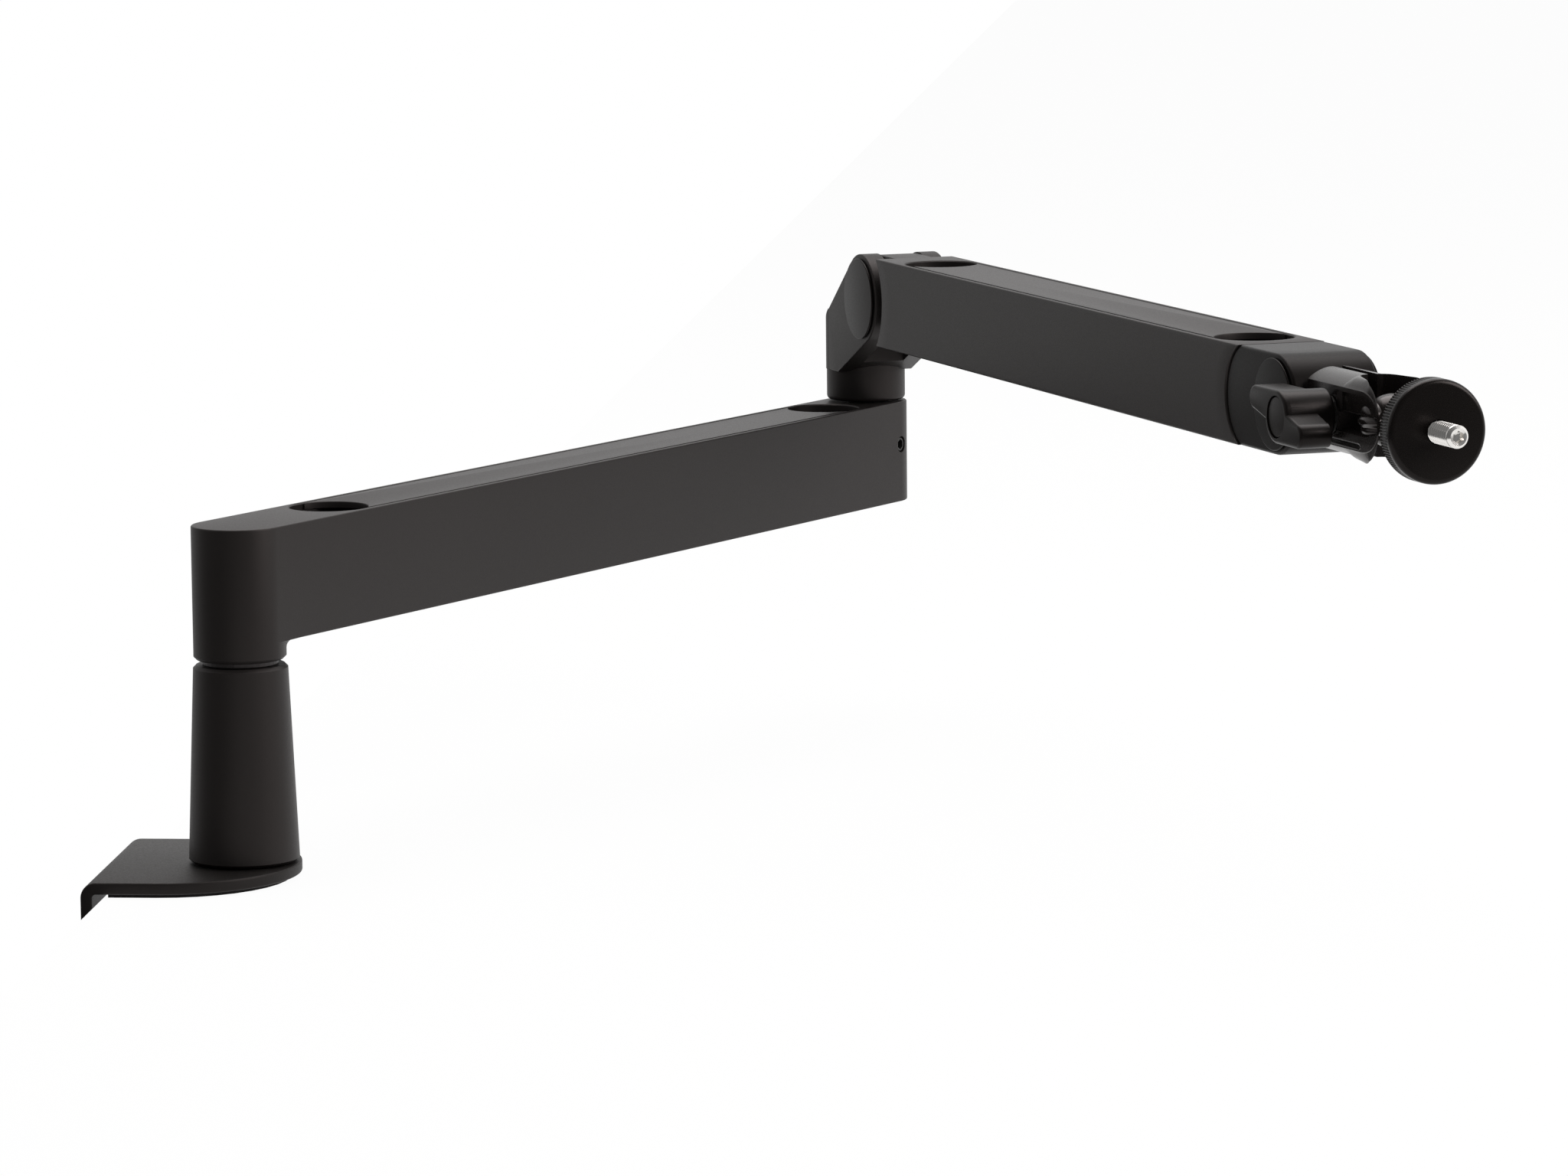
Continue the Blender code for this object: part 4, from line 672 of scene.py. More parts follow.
def clamp_foot():
    """A turned cup whose side leans out to a rounded rim, and a flat round pad on it."""
    low, high = levels("clamp_foot")
    radius = half_width("clamp_foot")
    lip = (high - low) / 3
    profile = [(0, low), (radius / 2, low), (radius - ARM_EDGE, high - lip)]
    profile += rounded(radius, high, ARM_EDGE) + [(0, high)]
    piece("clamp_foot_cup", [spun(profile, "z", SCREW_AT, CLAMP_ALONG)], "clamp_foot_body", "black_steel",
          "clamp_foot")
    low, high = levels("clamp_foot_rubber")
    profile = [(0, low), (radius, low)] + rounded(radius, high, ARM_EDGE) + [(0, high)]
    piece("clamp_foot_pad", [spun(profile, "z", SCREW_AT, CLAMP_ALONG)], "clamp_foot_body", "dark_rubber",
          "clamp_foot_rubber")


def clamp_nut():
    """A turned sleeve round a plain bore, with a rounded flange at its top."""
    low, high = levels("clamp_nut")
    flange, under = half_width("clamp_nut"), high - NUT_FLANGE
    profile = [(NUT_BORE, high), (NUT_BORE, low), (NUT_BODY - ARM_EDGE, low), (NUT_BODY, low + ARM_EDGE),
               (NUT_BODY, under), (flange, under), *rounded(flange, high, ARM_EDGE), (NUT_BORE, high)]
    piece("clamp_flange_nut", [spun(profile, "z", SCREW_AT, CLAMP_ALONG)], "clamp", "plain_steel",
          "clamp_nut")


# Riser and lower arm

def riser():
    """A turned cone round a blind bore: its radius falls evenly from foot to top, both chamfered."""
    foot, chamfer, seat = half_width("riser_column"), RISER_FOOT_CHAMFER, RISER_TOP - BUSH_DEPTH
    profile = [(0, RISER_UNDER), (foot - 2 * chamfer, RISER_UNDER),
               (foot - chamfer, RISER_UNDER + chamfer / 2), (foot, RISER_UNDER + 1.5 * chamfer),
               (RISER_TOP_RADIUS, RISER_TOP - RISER_CHAMFER), (RISER_TOP_RADIUS - RISER_CHAMFER, RISER_TOP),
               (PIN_BORE, RISER_TOP), (PIN_BORE, seat), (0, seat)]
    piece("riser_cone", [spun(profile, "z", BASE, CLAMP_ALONG)], "clamp", "black_arm", "riser_column")


def slot_outline(start, end, radius, half):
    """A long opening with round ends, in step with the arms' outlines: left, near, right and far side."""
    near = stack(np.linspace(start, end, FAN + RUN + 2)[1:-1], -half)
    left, right = arc((start, 0), radius, 90, 270), arc((end, 0), radius, -90, 90)
    return np.concatenate((left, near, right, near[::-1] * (1, -1)))


def lower_arm():
    """A bar with round ends over a round boss, open at the top.

    Each row goes round the bar once: the bore, the boss, its fillet to the underside, the outer wall,
    the top, and the wall and floor of the cable channel. On the riser's side the outer wall runs
    straight down into the boss, so the fillet has no radius there.
    """
    fan = np.linspace(np.pi / 2, FAN_END, FAN + 2)[1:]
    near_x = np.concatenate((HALF_ARM / np.tan(fan),
                             np.linspace(HALF_ARM / math.tan(FAN_END), LOWER_REACH, RUN + 1)[1:-1]))
    near = stack(near_x, -HALF_ARM)
    left, right = arc((0, 0), HALF_ARM, 90, 270), arc((LOWER_REACH, 0), HALF_ARM, -90, 90)
    outer = np.concatenate((left, near, right, near[::-1] * (1, -1)))
    tip_end = FAN_END / 3
    fan_turn = np.concatenate((-fan, np.linspace(-FAN_END, -tip_end, RUN + 1)[1:-1]))
    tip_turn = np.linspace(-tip_end, tip_end, HALF_TURN + 1)
    back_turn = np.linspace(np.pi / 2, 3 * np.pi / 2, HALF_TURN + 1)
    turn = np.concatenate((back_turn, fan_turn, tip_turn, -fan_turn[::-1]))
    radial = stack(np.cos(turn), np.sin(turn))
    front = np.clip((np.pi / 2 - np.abs((turn + np.pi) % (2 * np.pi) - np.pi)) / BOSS_BLEND, 0, 1)
    boss = HALF_ARM - (HALF_ARM - BOSS_RADIUS) * front
    room = np.maximum(HALF_ARM / np.maximum(np.abs(np.sin(turn)), NEAR_ZERO) - boss, 0) * (front > 0)
    fillet = np.minimum(BOSS_FILLET, FILLET_SHARE * room)
    under_edge = np.minimum(ARM_EDGE, EDGE_SHARE * room)

    ring = BOSS_UNDER + BUSH_DEPTH + CAP_GROOVE
    rows = [(radial * 0, ring), (radial * BUSH_BORE, ring), (radial * BUSH_BORE, BOSS_UNDER),
            (radial * (boss - RISER_CHAMFER)[:, None], BOSS_UNDER),
            (radial * boss[:, None], BOSS_UNDER + RISER_CHAMFER)]
    for drop, out in round_over(fillet, FILLET_ROUNDING):
        rows.append((radial * (boss + out)[:, None], LOWER_UNDER - drop))
    mitre = (outer - inset(outer, MM)) / MM
    for depth, drop in round_over(under_edge):
        rows.append((outer - mitre * depth[:, None], LOWER_UNDER + drop))
    for depth, drop in round_over(ARM_EDGE)[::-1]:
        rows.append((outer - mitre * depth, LOWER_TOP - drop))
    mouth = slot_outline(*LOWER_HOLES, CABLE_HOLE, RECESS_HALF)
    channel = slot_outline(*LOWER_HOLES, CABLE_HOLE, CHANNEL_HALF)
    spine = stack(np.clip(channel[:, 0], *LOWER_HOLES), 0.0)
    recess, floor = LOWER_TOP - RECESS_DEPTH, LOWER_TOP - LOWER_CHANNEL_DEPTH
    rows += [(inset(mouth, -HOLE_EDGE), LOWER_TOP), (mouth, LOWER_TOP - HOLE_EDGE), (mouth, recess),
             (channel, recess), (channel, floor), (spine, floor)]
    outside = -HALF_ARM - MM
    bore = spun([(0, outside), (SET_SCREW_BORE, outside), (SET_SCREW_BORE, -BUSH_BORE), (0, -BUSH_BORE)],
                "y", SET_SCREW_AT, LOWER_ALONG, SMALL_TURN)
    piece("lower_arm_bar", [skin(levelled(rows, BASE, LOWER_ALONG))], "lower_arm", "black_arm",
          "lower_arm_body", bores=[bore])


def hexagon(corner, angle):
    """Reach of a hexagon at an angle: that of a flat over the cosine of the angle from it."""
    return corner * math.cos(math.pi / 6) / np.cos((angle + np.pi / 6) % (np.pi / 3) - np.pi / 6)


def elbow_set_screw():
    """A chamfered grub screw with a hexagon socket."""
    angle = circle(HALF_TURN)
    flat, face = hexagon(SET_SCREW_SOCKET, angle), SET_SCREW_SINK - HALF_ARM
    floor = face + SET_SCREW_SOCKET_DEPTH
    steps = [(SET_SCREW_RADIUS, -BUSH_BORE), (SET_SCREW_RADIUS, face + SET_SCREW_CHAMFER),
             (SET_SCREW_RADIUS - SET_SCREW_CHAMFER, face), (flat, face), (flat, floor), (0, floor)]
    rows = turned(steps, angle, "y", SET_SCREW_AT, LOWER_ALONG)
    piece("set_screw_grub", [skin(rows), lid(rows[0])], "lower_arm", "plain_steel",
          "elbow_set_screw", BLACK_STEEL)


def cover(name, node, holes, top, origin, along, body):
    """A strip with hollow ends that follow the two cable holes, with rounded top edges."""
    start, end = holes
    low = levels(node)[0] - origin[2]
    lean = math.degrees(math.asin(COVER_HALF / CABLE_HOLE))
    outline = np.concatenate((arc((start, 0), CABLE_HOLE, lean, -lean),
                              arc((end, 0), CABLE_HOLE, 180 + lean, 180 - lean)))
    strip = slab(outline, low, top, (0, COVER_EDGE), "xy", origin, along)
    piece(name, strip, body, "black_arm", node)


# Elbow

def elbow_bracket():
    """A turned collar whose top follows the back slope, and two cheeks joined by a core behind the fork.

    The collar's top height at each angle is the slope's plane behind the axis, and stays inside the
    core in front of it.
    """
    back, front = math.tan(BACK_SLOPE), math.tan(FRONT_SLOPE)
    round_end = arc((HINGE_REACH, TILT[2]), CHEEK_RADIUS, math.degrees(FRONT_SLOPE) - 90,
                    math.degrees(BACK_SLOPE) + 90)
    under, over = round_end[0], round_end[-1]
    front_root, back_root = under[1] - under[0] * front, over[1] - over[0] * back
    ledge = COLLAR_UNDER + CHEEK_LEDGE
    ledge_end = (ledge - front_root) / front
    cheek = np.concatenate((round_end, [(0, back_root), (0, ledge), (ledge_end, ledge)]))
    floor = HINGE_REACH - FORK_BACK
    core = np.array([(0, ledge), (ledge_end, ledge), (floor, front_root + floor * front),
                     (floor, back_root + floor * back), (0, back_root)])

    angle = circle()
    rim_x = CHEEK_HALF * np.cos(angle)
    rim_z = back_root + rim_x * back * (rim_x < 0) - MM * (rim_x > 0)
    low = [(COLLAR_RADIUS - depth, COLLAR_UNDER + drop) for depth, drop in round_over(COLLAR_ROUND)]
    profile = [(0, COLLAR_UNDER), *low, (COLLAR_RADIUS, ledge), (CHEEK_HALF, ledge), (CHEEK_HALF, rim_z),
               (0, back_root)]
    skins = [skin(turned(profile, angle, "z", ELBOW, UPPER_ALONG))]
    inside = FORK_HALF + CAP_GROOVE
    for outline, start, end, edges in ((cheek, -CHEEK_HALF, -FORK_HALF, (CHEEK_EDGE, 0)),
                                       (cheek, FORK_HALF, CHEEK_HALF, (0, CHEEK_EDGE)),
                                       (core, -inside, inside, (0, 0))):
        skins += slab(outline, start, end, edges, "xz", ELBOW, UPPER_ALONG)
    piece("elbow_knuckle", skins, "elbow", "black_arm", "elbow_bracket")


def joint_caps(nodes, centre, face, radius, stub, body, finish):
    """A cap on each side of a joint: a thin disc on a stub that stands it off the face by a shadow gap."""
    rim, seat = face + CAP_STAND, face - CAP_GROOVE
    profile = [(0, seat), (stub, seat), (stub, rim), (radius, rim),
               *rounded(radius, rim + CAP_RIM, CAP_EDGE), (0, rim + CAP_RIM)]
    for node, sign in zip(nodes, (1, -1)):
        mirrored = [(reach, sign * height) for reach, height in profile]
        piece(node + "_disc", [spun(mirrored, "y", centre, UPPER_ALONG)], body, "black_plastic", node, finish)


# Upper arm

def elbow_tongue():
    """An eye as tall as the arm, round about the tilt axis, whose front fills the arm's hollow end."""
    half, reach = HALF_UPPER - TONGUE_BELOW, ELBOW_SCALLOP + CAP_GROOVE
    lean = math.degrees(math.asin(half / reach))
    outline = np.concatenate((arc((0, 0), half, 90, 270), arc((0, 0), reach, -lean, lean)))
    eye = slab(outline, -TONGUE_HALF, TONGUE_HALF, (ARM_EDGE, ARM_EDGE), "xz", TILT, UPPER_ALONG)
    piece("elbow_eye", eye, "upper_arm", "black_cast", "elbow_tongue", ARM_BLACK)


def upper_arm():
    """A square bar with hollow ends, open at the top.

    At a height z the bar starts at the root of (elbow hollow's radius squared - z squared), and ends
    short of the wrist by the same root for the wrist's hollow. Rows climb the outside, cross the top
    and go down into the cable channel.
    """
    corner = ARM_EDGE
    side_part = np.linspace(0, 1, FAN + RUN + 2)[1:-1]
    turn = quarter()
    flat_end = np.linspace(HALF_ARM - corner, corner - HALF_ARM, HALF_TURN + 1 - 2 * len(turn))
    lead = np.concatenate((corner * (1 - np.sin(turn)), 0 * flat_end, corner * (1 - np.cos(turn))))
    end_y = np.concatenate((HALF_ARM - corner * (1 - np.cos(turn)), flat_end,
                            corner - HALF_ARM - corner * np.sin(turn)))
    near_y = 0 * side_part - HALF_ARM

    def outline(height, depth):
        start = np.sqrt(ELBOW_SCALLOP ** 2 - height ** 2)
        end = UPPER_REACH - np.sqrt(WRIST_SCALLOP ** 2 - height ** 2)
        side = start + corner + (end - start - 2 * corner) * side_part
        x = np.concatenate((start + lead, side, end - lead[::-1], side[::-1]))
        y = np.concatenate((end_y, near_y, end_y[::-1], -near_y))
        return stack(np.clip(x, start + depth, end - depth), np.clip(y, depth - HALF_ARM, HALF_ARM - depth))

    under = outline(-HALF_UPPER, ARM_EDGE)[:, 0]
    middle = np.clip(under, under.min() + HALF_ARM, under.max() - HALF_ARM)
    edge = [(HALF_UPPER - drop, depth) for depth, drop in round_over(ARM_EDGE)]
    wall = np.linspace(ARM_EDGE - HALF_UPPER, HALF_UPPER - ARM_EDGE, WALL_ROWS)[1:-1]
    climb = [(-height, depth) for height, depth in edge] + [(height, 0) for height in wall] + edge[::-1]
    mouth = slot_outline(*UPPER_HOLES, CABLE_HOLE, RECESS_HALF)
    channel = slot_outline(ELBOW_SCALLOP + CHANNEL_FROM_SCALLOP,
                           UPPER_REACH - WRIST_SCALLOP - CHANNEL_FROM_SCALLOP, CHANNEL_HALF, CHANNEL_HALF)
    spine = np.clip(channel[:, 0], UPPER_HOLES[0] + HALF_ARM, UPPER_HOLES[1] - HALF_ARM)
    at_hole = np.abs(mouth[:, 0] - np.clip(mouth[:, 0], *UPPER_HOLES)) > 0
    shelf = np.where(at_hole, UPPER_HOLE_FLOOR, HALF_UPPER - RECESS_DEPTH)
    floor = HALF_UPPER - UPPER_CHANNEL_DEPTH
    rows = [(stack(middle, 0.0), -HALF_UPPER)]
    rows += [(outline(height, depth), height) for height, depth in climb]
    rows += [(inset(mouth, -HOLE_EDGE), HALF_UPPER), (mouth, HALF_UPPER - HOLE_EDGE), (mouth, shelf),
             (channel, shelf), (channel, floor), (stack(spine, 0.0), floor)]

    wide, outside = PLUG_SCREW_HEAD + CAP_GROOVE, -HALF_UPPER - MM
    cone = [(0, outside), (wide + MM, outside), (PLUG_SCREW_TIP, wide - HALF_UPPER - PLUG_SCREW_TIP),
            (0, wide - HALF_UPPER)]
    bores = [spun(cone, "z", TILT + UPPER_ALONG * at, UPPER_ALONG, HALF_TURN)
             for at in (ELBOW_SCALLOP + PLUG_SCREW_IN, UPPER_REACH - WRIST_SCALLOP - PLUG_SCREW_IN)]
    piece("upper_arm_bar", [skin(levelled(rows, TILT, UPPER_ALONG))], "upper_arm", "black_arm",
          "upper_arm_body", bores=bores)


# Wrist and ball head

def wrist_block():
    """A block between two flat sides: round about the wrist axis at the back and about its bolt at the front.

    Inside the sides' rows, the back of the outline goes round the eye instead, which leaves the slot
    that the arm's tongue turns in.
    """
    lean = math.degrees(math.asin(HALF_UPPER / BLOCK_BACK))
    front = arc((BLOCK_FRONT, 0), HALF_UPPER, -90, 90)
    back = arc((0, 0), BLOCK_BACK, 180 - lean, 180 + lean)
    outline = np.concatenate((front, back))
    keep = EYE_MOUTH_POINTS
    eye = arc((0, 0), EYE_SEAT, EYE_MOUTH, -EYE_MOUTH, HALF_TURN - 2 * keep)
    slotted = np.concatenate((front, back[:keep], eye, back[-keep:]))
    half = [(inset(outline, depth), drop - BLOCK_HALF)
            for depth, drop in round_over(BLOCK_EDGE, FILLET_ROUNDING)]
    half += [(outline, -EYE_HALF), (slotted, -EYE_HALF)]
    rows = half + [(flat, -height) for flat, height in half[::-1]]
    local = np.array([stack(flat[:, 0], height, flat[:, 1]) for flat, height in rows])
    piece("wrist_barrel", capped(placed(local, WRIST, UPPER_ALONG)), "wrist", "black_plastic",
          "wrist_block", BLOCK_BLACK)


def ball_jaws():
    """Two cast jaws, each a channel section carried along the head, on a common root.

    At each station the section falls as a parabola from the gap to a lip, and its side goes down
    over a shelf, a deep pocket and a lower shelf to the other lip. Round the ball the side is never
    nearer the middle than the sphere of the bulge, with a rib between two grooves at the ball's level.
    The inner side is the gap, or the sphere of the ball's socket where that is wider. The gap opens
    as a quarter round does and flares to the nose, where the height falls off as a quarter ellipse does.
    """
    to_pocket, to_gape, to_round, over_nose = JAW_STATIONS
    along = np.concatenate((np.linspace(JAW_START, JAW_POCKET - MM, to_pocket),
                            np.linspace(JAW_POCKET, JAW_GAPE, to_gape),
                            np.linspace(JAW_GAPE, JAW_ROUND, to_round)[1:],
                            JAW_ROUND + (JAW_NOSE - JAW_ROUND) * np.sin(quarter(over_nose))[1:]))
    opening = np.clip((along - JAW_GAPE + JAW_OPENING / 2) / JAW_OPENING, 0, 1)
    flare = np.clip((along - JAW_GAPE) / (JAW_FLARE_END - JAW_GAPE), 0, 1)
    gap = JAW_SLOT + (JAW_GAPE_HALF - JAW_SLOT) * np.sqrt(1 - (1 - opening) ** 2) + JAW_FLARE * flare
    round_off = np.sqrt(1 - np.clip((along - JAW_ROUND) / (JAW_NOSE - JAW_ROUND), 0, 1) ** 2)
    high = JAW_NOSE_HEIGHT + (JAW_HEIGHT - JAW_NOSE_HEIGHT) * round_off
    shrink = JAW_NOSE_SHARE + (1 - JAW_NOSE_SHARE) * round_off
    dome, rim, low_rim = JAW_DOME * shrink, JAW_LIP * shrink, JAW_LOW_LIP * shrink
    lip = high - dome
    part = np.linspace(0, 1, SOFT_ROUNDING + 1)[:, None]
    top_y = np.concatenate((gap + (JAW_WIDTH - JAW_BEVEL - gap) * part, [JAW_WIDTH + 0 * along]))
    top_z = np.concatenate((high - dome * part ** 2, [lip - JAW_BEVEL]))

    part = np.linspace(0, 1, JAW_SIDE_ROWS)[:, None]
    level_z = lip - rim + part * (low_rim + rim - 2 * lip)
    deep = eased(-level_z, -JAW_POCKET_TOP, JAW_STEP - JAW_POCKET_TOP)
    deep = deep * eased(level_z, JAW_POCKET_LOW, JAW_POCKET_LOW + JAW_STEP)
    pocket = JAW_SHELF_DEPTH + (JAW_POCKET_DEPTH - JAW_SHELF_DEPTH) * deep
    pocket = pocket * eased(along, JAW_POCKET - MM, JAW_POCKET) * ((part > 0) & (part < 1))
    pocket = pocket * (1 - eased(along, JAW_NOSE - MM, JAW_NOSE - JAW_NOSE_WALL))
    from_ball = (along - np.dot(BALL - WRIST, UPPER_ALONG)) ** 2 + level_z ** 2
    swell = np.sqrt(np.maximum(JAW_BULGE ** 2 - from_ball, 0))
    groove = np.abs(level_z) - JAW_RIB_GROOVE
    rib = np.exp(-(level_z / JAW_RIB_HALF) ** 2) - np.exp(-(groove / JAW_RIB_HALF) ** 2)
    swell = swell + JAW_RIB * rib * eased(swell, JAW_RIB_START, JAW_RIB_FULL)
    side_y = np.minimum(np.maximum(JAW_WIDTH - pocket, swell), JAW_WIDTH)
    socket_y = np.sqrt(np.maximum(JAW_SOCKET ** 2 - from_ball, 0))
    inner_y = np.minimum(np.maximum(gap, socket_y), side_y - JAW_WALL)

    low_z = low_rim - lip - np.linspace(0, 1, JAW_LIP_ROWS)[1:-1, None] * low_rim
    slit = np.exp(-((low_z - JAW_SLIT_LEVEL) / JAW_STEP) ** 2)
    low_y = JAW_WIDTH - JAW_SLIT_DEPTH * slit * (1 - eased(along, JAW_SLIT_END, JAW_SLIT_END + JAW_SLIT_FADE))
    section_y = np.concatenate((top_y, side_y, low_y, top_y[::-1], inner_y[::-1])).T
    section_z = np.concatenate((top_z, level_z, low_z, -top_z[::-1], level_z[::-1])).T
    skins = []
    for sign in (-1, 1):
        skins += capped(placed(stack(along[:, None], sign * section_y, section_z), WRIST, UPPER_ALONG))
    root = np.array([(JAW_ROOT, -JAW_ROOT_HEIGHT), (JAW_ROOT_END, -JAW_ROOT_HEIGHT),
                     (JAW_ROOT_END, JAW_ROOT_HEIGHT), (JAW_ROOT, JAW_ROOT_HEIGHT)])
    skins += slab(root, -JAW_ROOT_WIDTH, JAW_ROOT_WIDTH, (JAW_EDGE, JAW_EDGE), "xz", WRIST, UPPER_ALONG)
    piece("ball_jaws", skins, "wrist", "black_cast", "ball_clamp")


def wing_knob():
    """A plate with one wing high at the back and one low at the front, on a round collar."""
    centre = WRIST + UPPER_ALONG * JAW_BOLT_AT
    wing = (WING_HUB + WING_INNER_EDGE) / 2
    rise = WING_HUB - wing
    hub = WING_HUB_START
    outline = np.concatenate((arc((WING_FRONT - wing, -rise), wing, -90, 90, WING_STEPS),
                              arc((0, 0), WING_HUB, hub, 90, WING_STEPS),
                              arc((wing - WING_BACK, rise), wing, 90, 270, WING_STEPS),
                              arc((0, 0), WING_HUB, hub + 180, 270, WING_STEPS)))
    low, floor = -WING_FACE, CAP_SEAT - WING_FACE
    seat_radius = WING_CAP_RADIUS + CAP_GROOVE
    seat = turned([(seat_radius, low), (seat_radius, floor), (0, floor)], circle(), "y", centre, UPPER_ALONG)
    skins = slab(outline, low, low + WING_BLADE, (WING_EDGE, WING_EDGE / 2), "xz", centre, UPPER_ALONG,
                 [seat[0]])
    edge = [(radius, low + height) for radius, height in rounded(WING_HUB, WING_DEPTH, WING_EDGE)]
    collar = [(0, floor + CAP_GROOVE), (WING_HUB, floor + CAP_GROOVE), *edge, (0, low + WING_DEPTH)]
    skins += [skin(seat), spun(collar, "y", centre, UPPER_ALONG)]
    piece("wing_grip", skins, "wing", "black_plastic", "wing_knob")
    rim = rounded(WING_CAP_RADIUS, WING_FACE - CAP_GROOVE, CAP_GROOVE)
    edge = [(radius, -height) for radius, height in rim]
    disc = [(0, CAP_THICK + low), (WING_CAP_RADIUS, CAP_THICK + low), *edge, (0, CAP_GROOVE + low)]
    piece("wing_cap_disc", [spun(disc, "y", centre, UPPER_ALONG)], "wing", "black_plastic", "wing_cap")


def ball_stem():
    """A ball whose neck widens in a quarter round to meet the disc."""
    end = DISC_FACE - DISC_THICK - CAP_GROOVE
    turn = np.linspace(np.pi, math.asin(NECK_RADIUS / BALL_RADIUS), HALF_TURN)
    profile = list(zip(BALL_RADIUS * np.sin(turn), BALL_RADIUS * np.cos(turn)))
    profile += [(NECK_RADIUS + out, end - drop) for drop, out in round_over(NECK_FLARE, SOFT_ROUNDING)]
    profile += [(0, end)]
    piece("ball_and_neck", [spun(profile, "x", BALL, UPPER_ALONG)], "ball", "black_cast", "ball_stem")


def mic_disc():
    """A disc with a straight knurl: its rim dips with the cosine of the knurl count times the angle."""
    bore, back = STUD_RADIUS + CAP_GROOVE, DISC_FACE - DISC_THICK
    start, end = back + KNURL_START, back + KNURL_END
    angle = circle(KNURL_POINTS * KNURLS)
    dipped = DISC_RADIUS - KNURL_DEPTH * (0.5 - 0.5 * np.cos(KNURLS * angle))
    profile = [(bore, DISC_FACE), (bore, back), (DISC_RADIUS - DISC_BACK_CHAMFER, back),
               (DISC_RADIUS, start - KNURL_DEPTH), (dipped, start), (dipped, end),
               (DISC_RADIUS, end + KNURL_DEPTH),
               *rounded(DISC_RADIUS, DISC_FACE, DISC_FRONT_ROUND, SOFT_ROUNDING), (bore, DISC_FACE)]
    rows = turned(profile, angle, "x", BALL, UPPER_ALONG)
    piece("knurled_disc", [skin(rows)], "lock_disc", "black_cast", "mic_disc", DISC_BLACK)


def mic_stud():
    """A threaded stud with a chamfered tip and a hexagon socket."""
    root = float(np.dot(joint_at("disc_spin") - BALL, UPPER_ALONG)) - DISC_THICK - STUD_ROOT
    tip, angle = DISC_FACE + STUD_LENGTH, circle(HALF_TURN)
    rows = thread(STUD_RADIUS, STUD_THREAD, STUD_PITCH, (root, tip - STUD_CHAMFER), "x", BALL, UPPER_ALONG,
                  HALF_TURN, per_turn=12)
    flat, floor = hexagon(STUD_SOCKET, angle), tip - STUD_SOCKET_DEPTH
    steps = [(STUD_RADIUS - STUD_CHAMFER, tip), (flat, tip - STUD_SOCKET_EDGE), (flat, floor),
             (0, floor - STUD_SOCKET_CONE)]
    rows = np.concatenate((rows, turned(steps, angle, "x", BALL, UPPER_ALONG)))
    piece("threaded_stud", [skin(rows), lid(rows[0])], "ball", "bright_stud", "mic_stud")


def finish_kept_nodes():
    """The inner pieces keep their solids and take the finish of their slot."""
    for part in frame["record"]["subparts"]:
        node = frame["nodes"][part["node"]]
        node.data.materials.clear()
        node.data.materials.append(FINISHES[part["material_slot"]])
    for name in ("elbow_plug_screw", "wrist_plug_screw", "wing_washer", "jaw_bolt", "jaw_nut"):
        frame["nodes"][name].data.materials[0] = BLACK_STEEL


# Studio

def combined(tree, operation, first, second):
    """The result of a math node on two values, each an output or a number."""
    node = tree.nodes.new("ShaderNodeMath")
    node.operation = operation
    for place, value in enumerate((first, second)):
        if isinstance(value, float):
            node.inputs[place].default_value = value
        else:
            tree.links.new(value, node.inputs[place])
    return node.outputs["Value"]


def seen_directly(tree, share):
    """share for rays from the camera, off glossy surfaces or through glass, and 0 for the rest."""
    path = tree.nodes.new("ShaderNodeLightPath").outputs
    seen = combined(tree, "MAXIMUM", path["Is Camera Ray"], path["Is Glossy Ray"])
    seen = combined(tree, "MAXIMUM", seen, path["Is Transmission Ray"])
    return combined(tree, "MULTIPLY", seen, share)


def mixed(tree, share, first, second, end):
    """Two shaders, of which the second has the given share where it is seen directly."""
    mix = tree.nodes.new("ShaderNodeMixShader")
    tree.links.new(seen_directly(tree, share), mix.inputs["Fac"])
    tree.links.new(first, mix.inputs[1])
    tree.links.new(second, mix.inputs[2])
    tree.links.new(mix.outputs["Shader"], tree.nodes[end].inputs["Surface"])


def backdrop():
    """The desk top: a wide pale plane that stops at the clamp's back, where the lip goes down."""
    left, right, front, back = DESK
    mesh = bpy.data.meshes.new("desk_top")
    corners = [(left, front, 0), (right, front, 0), (right, back, 0), (left, back, 0)]
    mesh.from_pydata(corners, [], [(0, 1, 2, 3)])
    desk = added("desk_top", mesh)
    made = bpy.data.materials.new("desk_white")
    made.use_nodes = True
    tree = made.node_tree
    shader = filled(tree.nodes["Principled BSDF"], {"Base Color": DESK_GREY, "Roughness": DESK_ROUGHNESS,
                                                    "Specular IOR Level": 0.0})
    glow = filled(tree.nodes.new("ShaderNodeEmission"), {"Color": WHITE})
    mixed(tree, DESK_GLOW, shader.outputs["BSDF"], glow.outputs["Emission"], "Material Output")
    mesh.materials.append(made)


def studio_walls(tree):
    """1 where the camera looks; for other rays the walls are white, and dim in front and at the left."""
    sides = tree.nodes.new("ShaderNodeSeparateXYZ")
    tree.links.new(tree.nodes.new("ShaderNodeTexCoord").outputs["Generated"], sides.inputs["Vector"])
    falls = []
    for side, (dim_at, full_at, dim) in DIM_SIDES.items():
        fall = filled(tree.nodes.new("ShaderNodeMapRange"), {
            "From Min": dim_at, "From Max": full_at, "To Min": dim, "To Max": 1.0})
        fall.interpolation_type = "SMOOTHSTEP"
        tree.links.new(sides.outputs[side], fall.inputs["Value"])
        falls.append(fall.outputs["Result"])
    path = tree.nodes.new("ShaderNodeLightPath")
    return combined(tree, "MAXIMUM", path.outputs["Is Camera Ray"], combined(tree, "MULTIPLY", *falls))


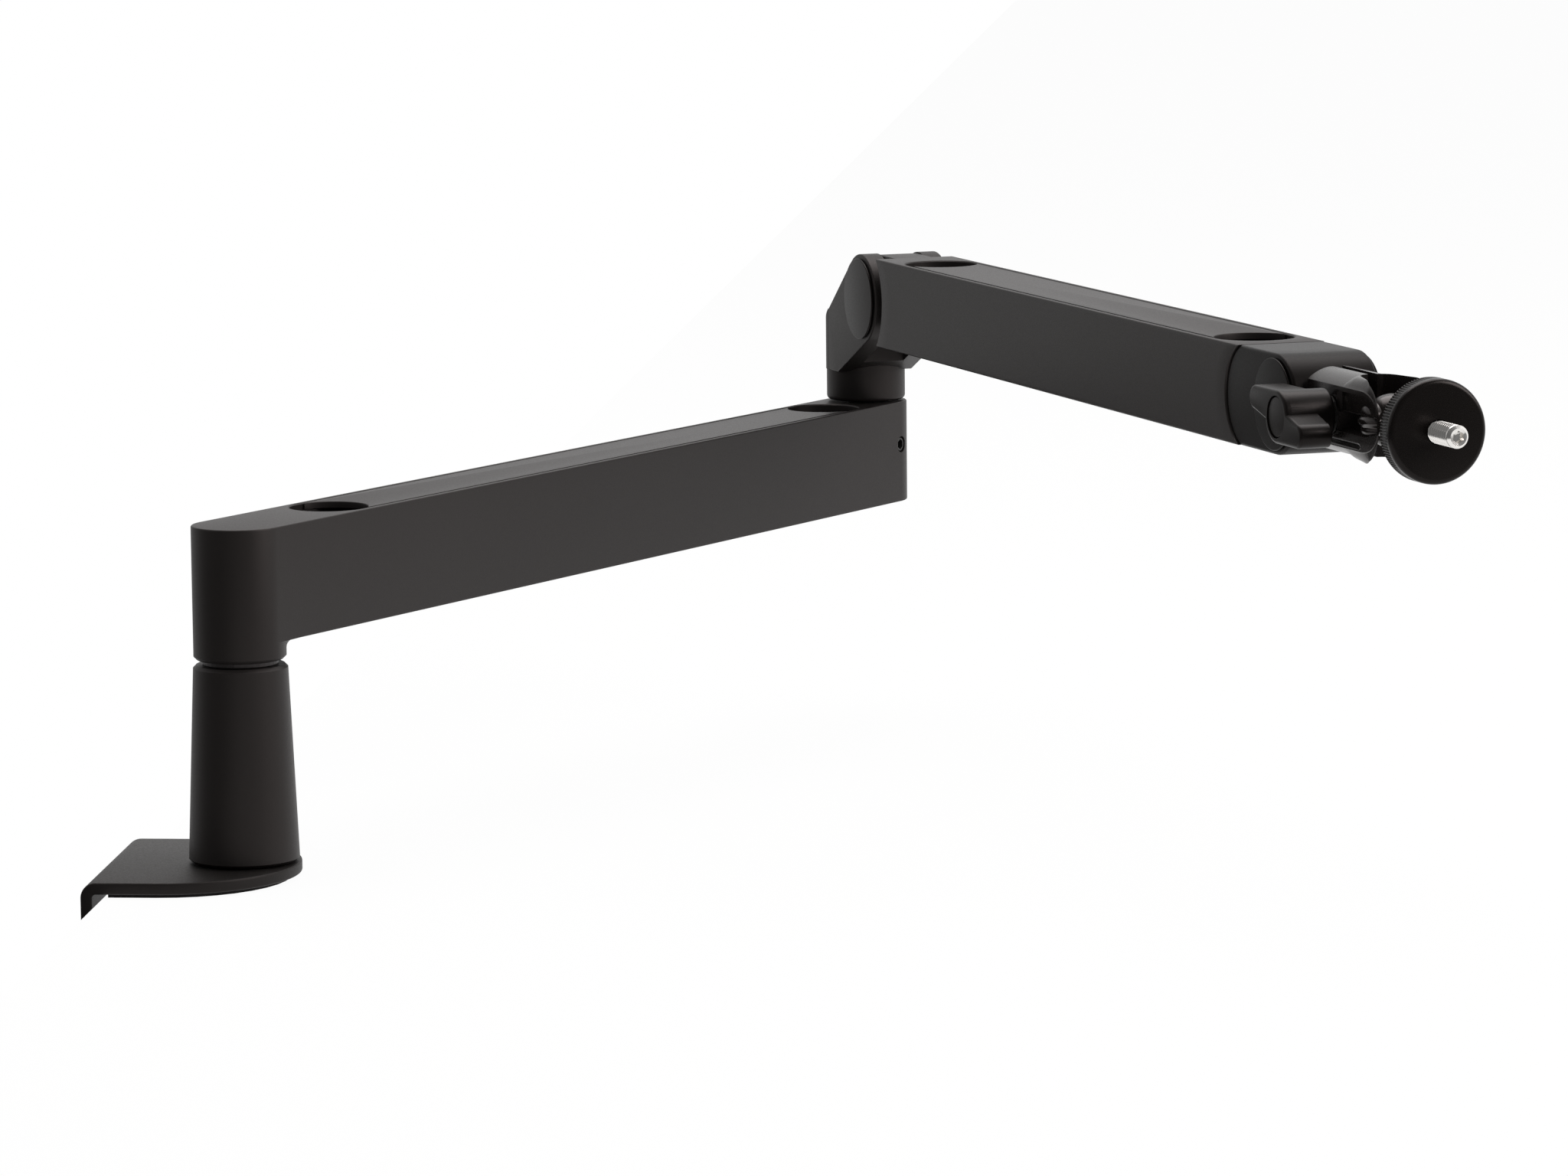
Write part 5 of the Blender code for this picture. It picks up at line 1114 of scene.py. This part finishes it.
def studio():
    """A pale world that is white where it is seen, and soft lamps at both sides and above."""
    world = bpy.data.worlds.new("studio")
    bpy.context.scene.world = world
    world.use_nodes = True
    tree = world.node_tree
    light = filled(tree.nodes["Background"], {"Color": WHITE, "Strength": WORLD_LIGHT})
    shown = filled(tree.nodes.new("ShaderNodeBackground"), {"Color": WHITE})
    tree.links.new(studio_walls(tree), shown.inputs["Strength"])
    mixed(tree, 1.0, light.outputs["Background"], shown.outputs["Background"], "World Output")
    bpy.context.scene.view_settings.view_transform = "Standard"

    for name, at, size, power in LAMPS:
        lamp = bpy.data.lights.new(name, "AREA")
        lamp.shape = "SQUARE"
        lamp.size = size
        lamp.energy = power
        lamp.color = LAMP_TINT
        towards = np.array(LAMP_AIM) - np.array(at)
        towards = towards / np.linalg.norm(towards)
        right = np.cross(towards, UP)
        right = right / np.linalg.norm(right)
        added(name, lamp).matrix_world = facing(at, right, np.cross(right, towards), towards)


def facing(at, right, up, forward):
    """The matrix of a lamp or camera, which looks along its own -Z."""
    turned_to = np.eye(4)
    turned_to[:3] = stack(right, up, -forward, at)
    return Matrix(turned_to.tolist())


def camera():
    """The photograph's camera: yaw and pitch give the view, and roll turns its right and up."""
    yaw, pitch, roll = CAMERA_YAW, CAMERA_PITCH, CAMERA_ROLL
    forward = np.array((math.sin(yaw) * math.cos(pitch), math.cos(yaw) * math.cos(pitch), -math.sin(pitch)))
    level_right = np.array((math.cos(yaw), -math.sin(yaw), 0.0))
    level_up = np.cross(level_right, forward)
    right = math.cos(roll) * level_right + math.sin(roll) * level_up
    up = math.cos(roll) * level_up - math.sin(roll) * level_right
    data = bpy.data.cameras.new("photo_camera")
    data.sensor_fit = "HORIZONTAL"
    data.sensor_width = SENSOR_MM
    data.lens = FOCAL_PIXELS * SENSOR_MM / IMAGE_WIDTH
    data.clip_end = FAR_CLIP
    holder = added("photo_camera", data)
    holder.matrix_world = facing(CAMERA_AT, right, up, forward)
    bpy.context.scene.camera = holder


camera()
studio()
backdrop()
finish_kept_nodes()
clamp_bracket()
clamp_screw()
clamp_knob()
clamp_foot()
clamp_nut()
riser()
lower_arm()
elbow_set_screw()
cover("lower_cover_strip", "lower_arm_cover", LOWER_HOLES, LOWER_TOP, BASE, LOWER_ALONG, "lower_arm")
elbow_bracket()
joint_caps(("hinge_cap_far", "hinge_cap_near"), TILT, CHEEK_HALF, HINGE_CAP_RADIUS, HINGE_CAP_STUB, "elbow",
           MOULDED_BLACK)
elbow_tongue()
upper_arm()
cover("upper_cover_strip", "upper_arm_cover", UPPER_HOLES, HALF_UPPER, TILT, UPPER_ALONG, "upper_arm")
wrist_block()
joint_caps(("wrist_cap_far", "wrist_cap_near"), WRIST + UPPER_ALONG * BLOCK_FRONT, BLOCK_HALF,
           WRIST_CAP_RADIUS, WRIST_CAP_STUB, "wrist", BLOCK_BLACK)
ball_jaws()
wing_knob()
ball_stem()
mic_disc()
mic_stud()
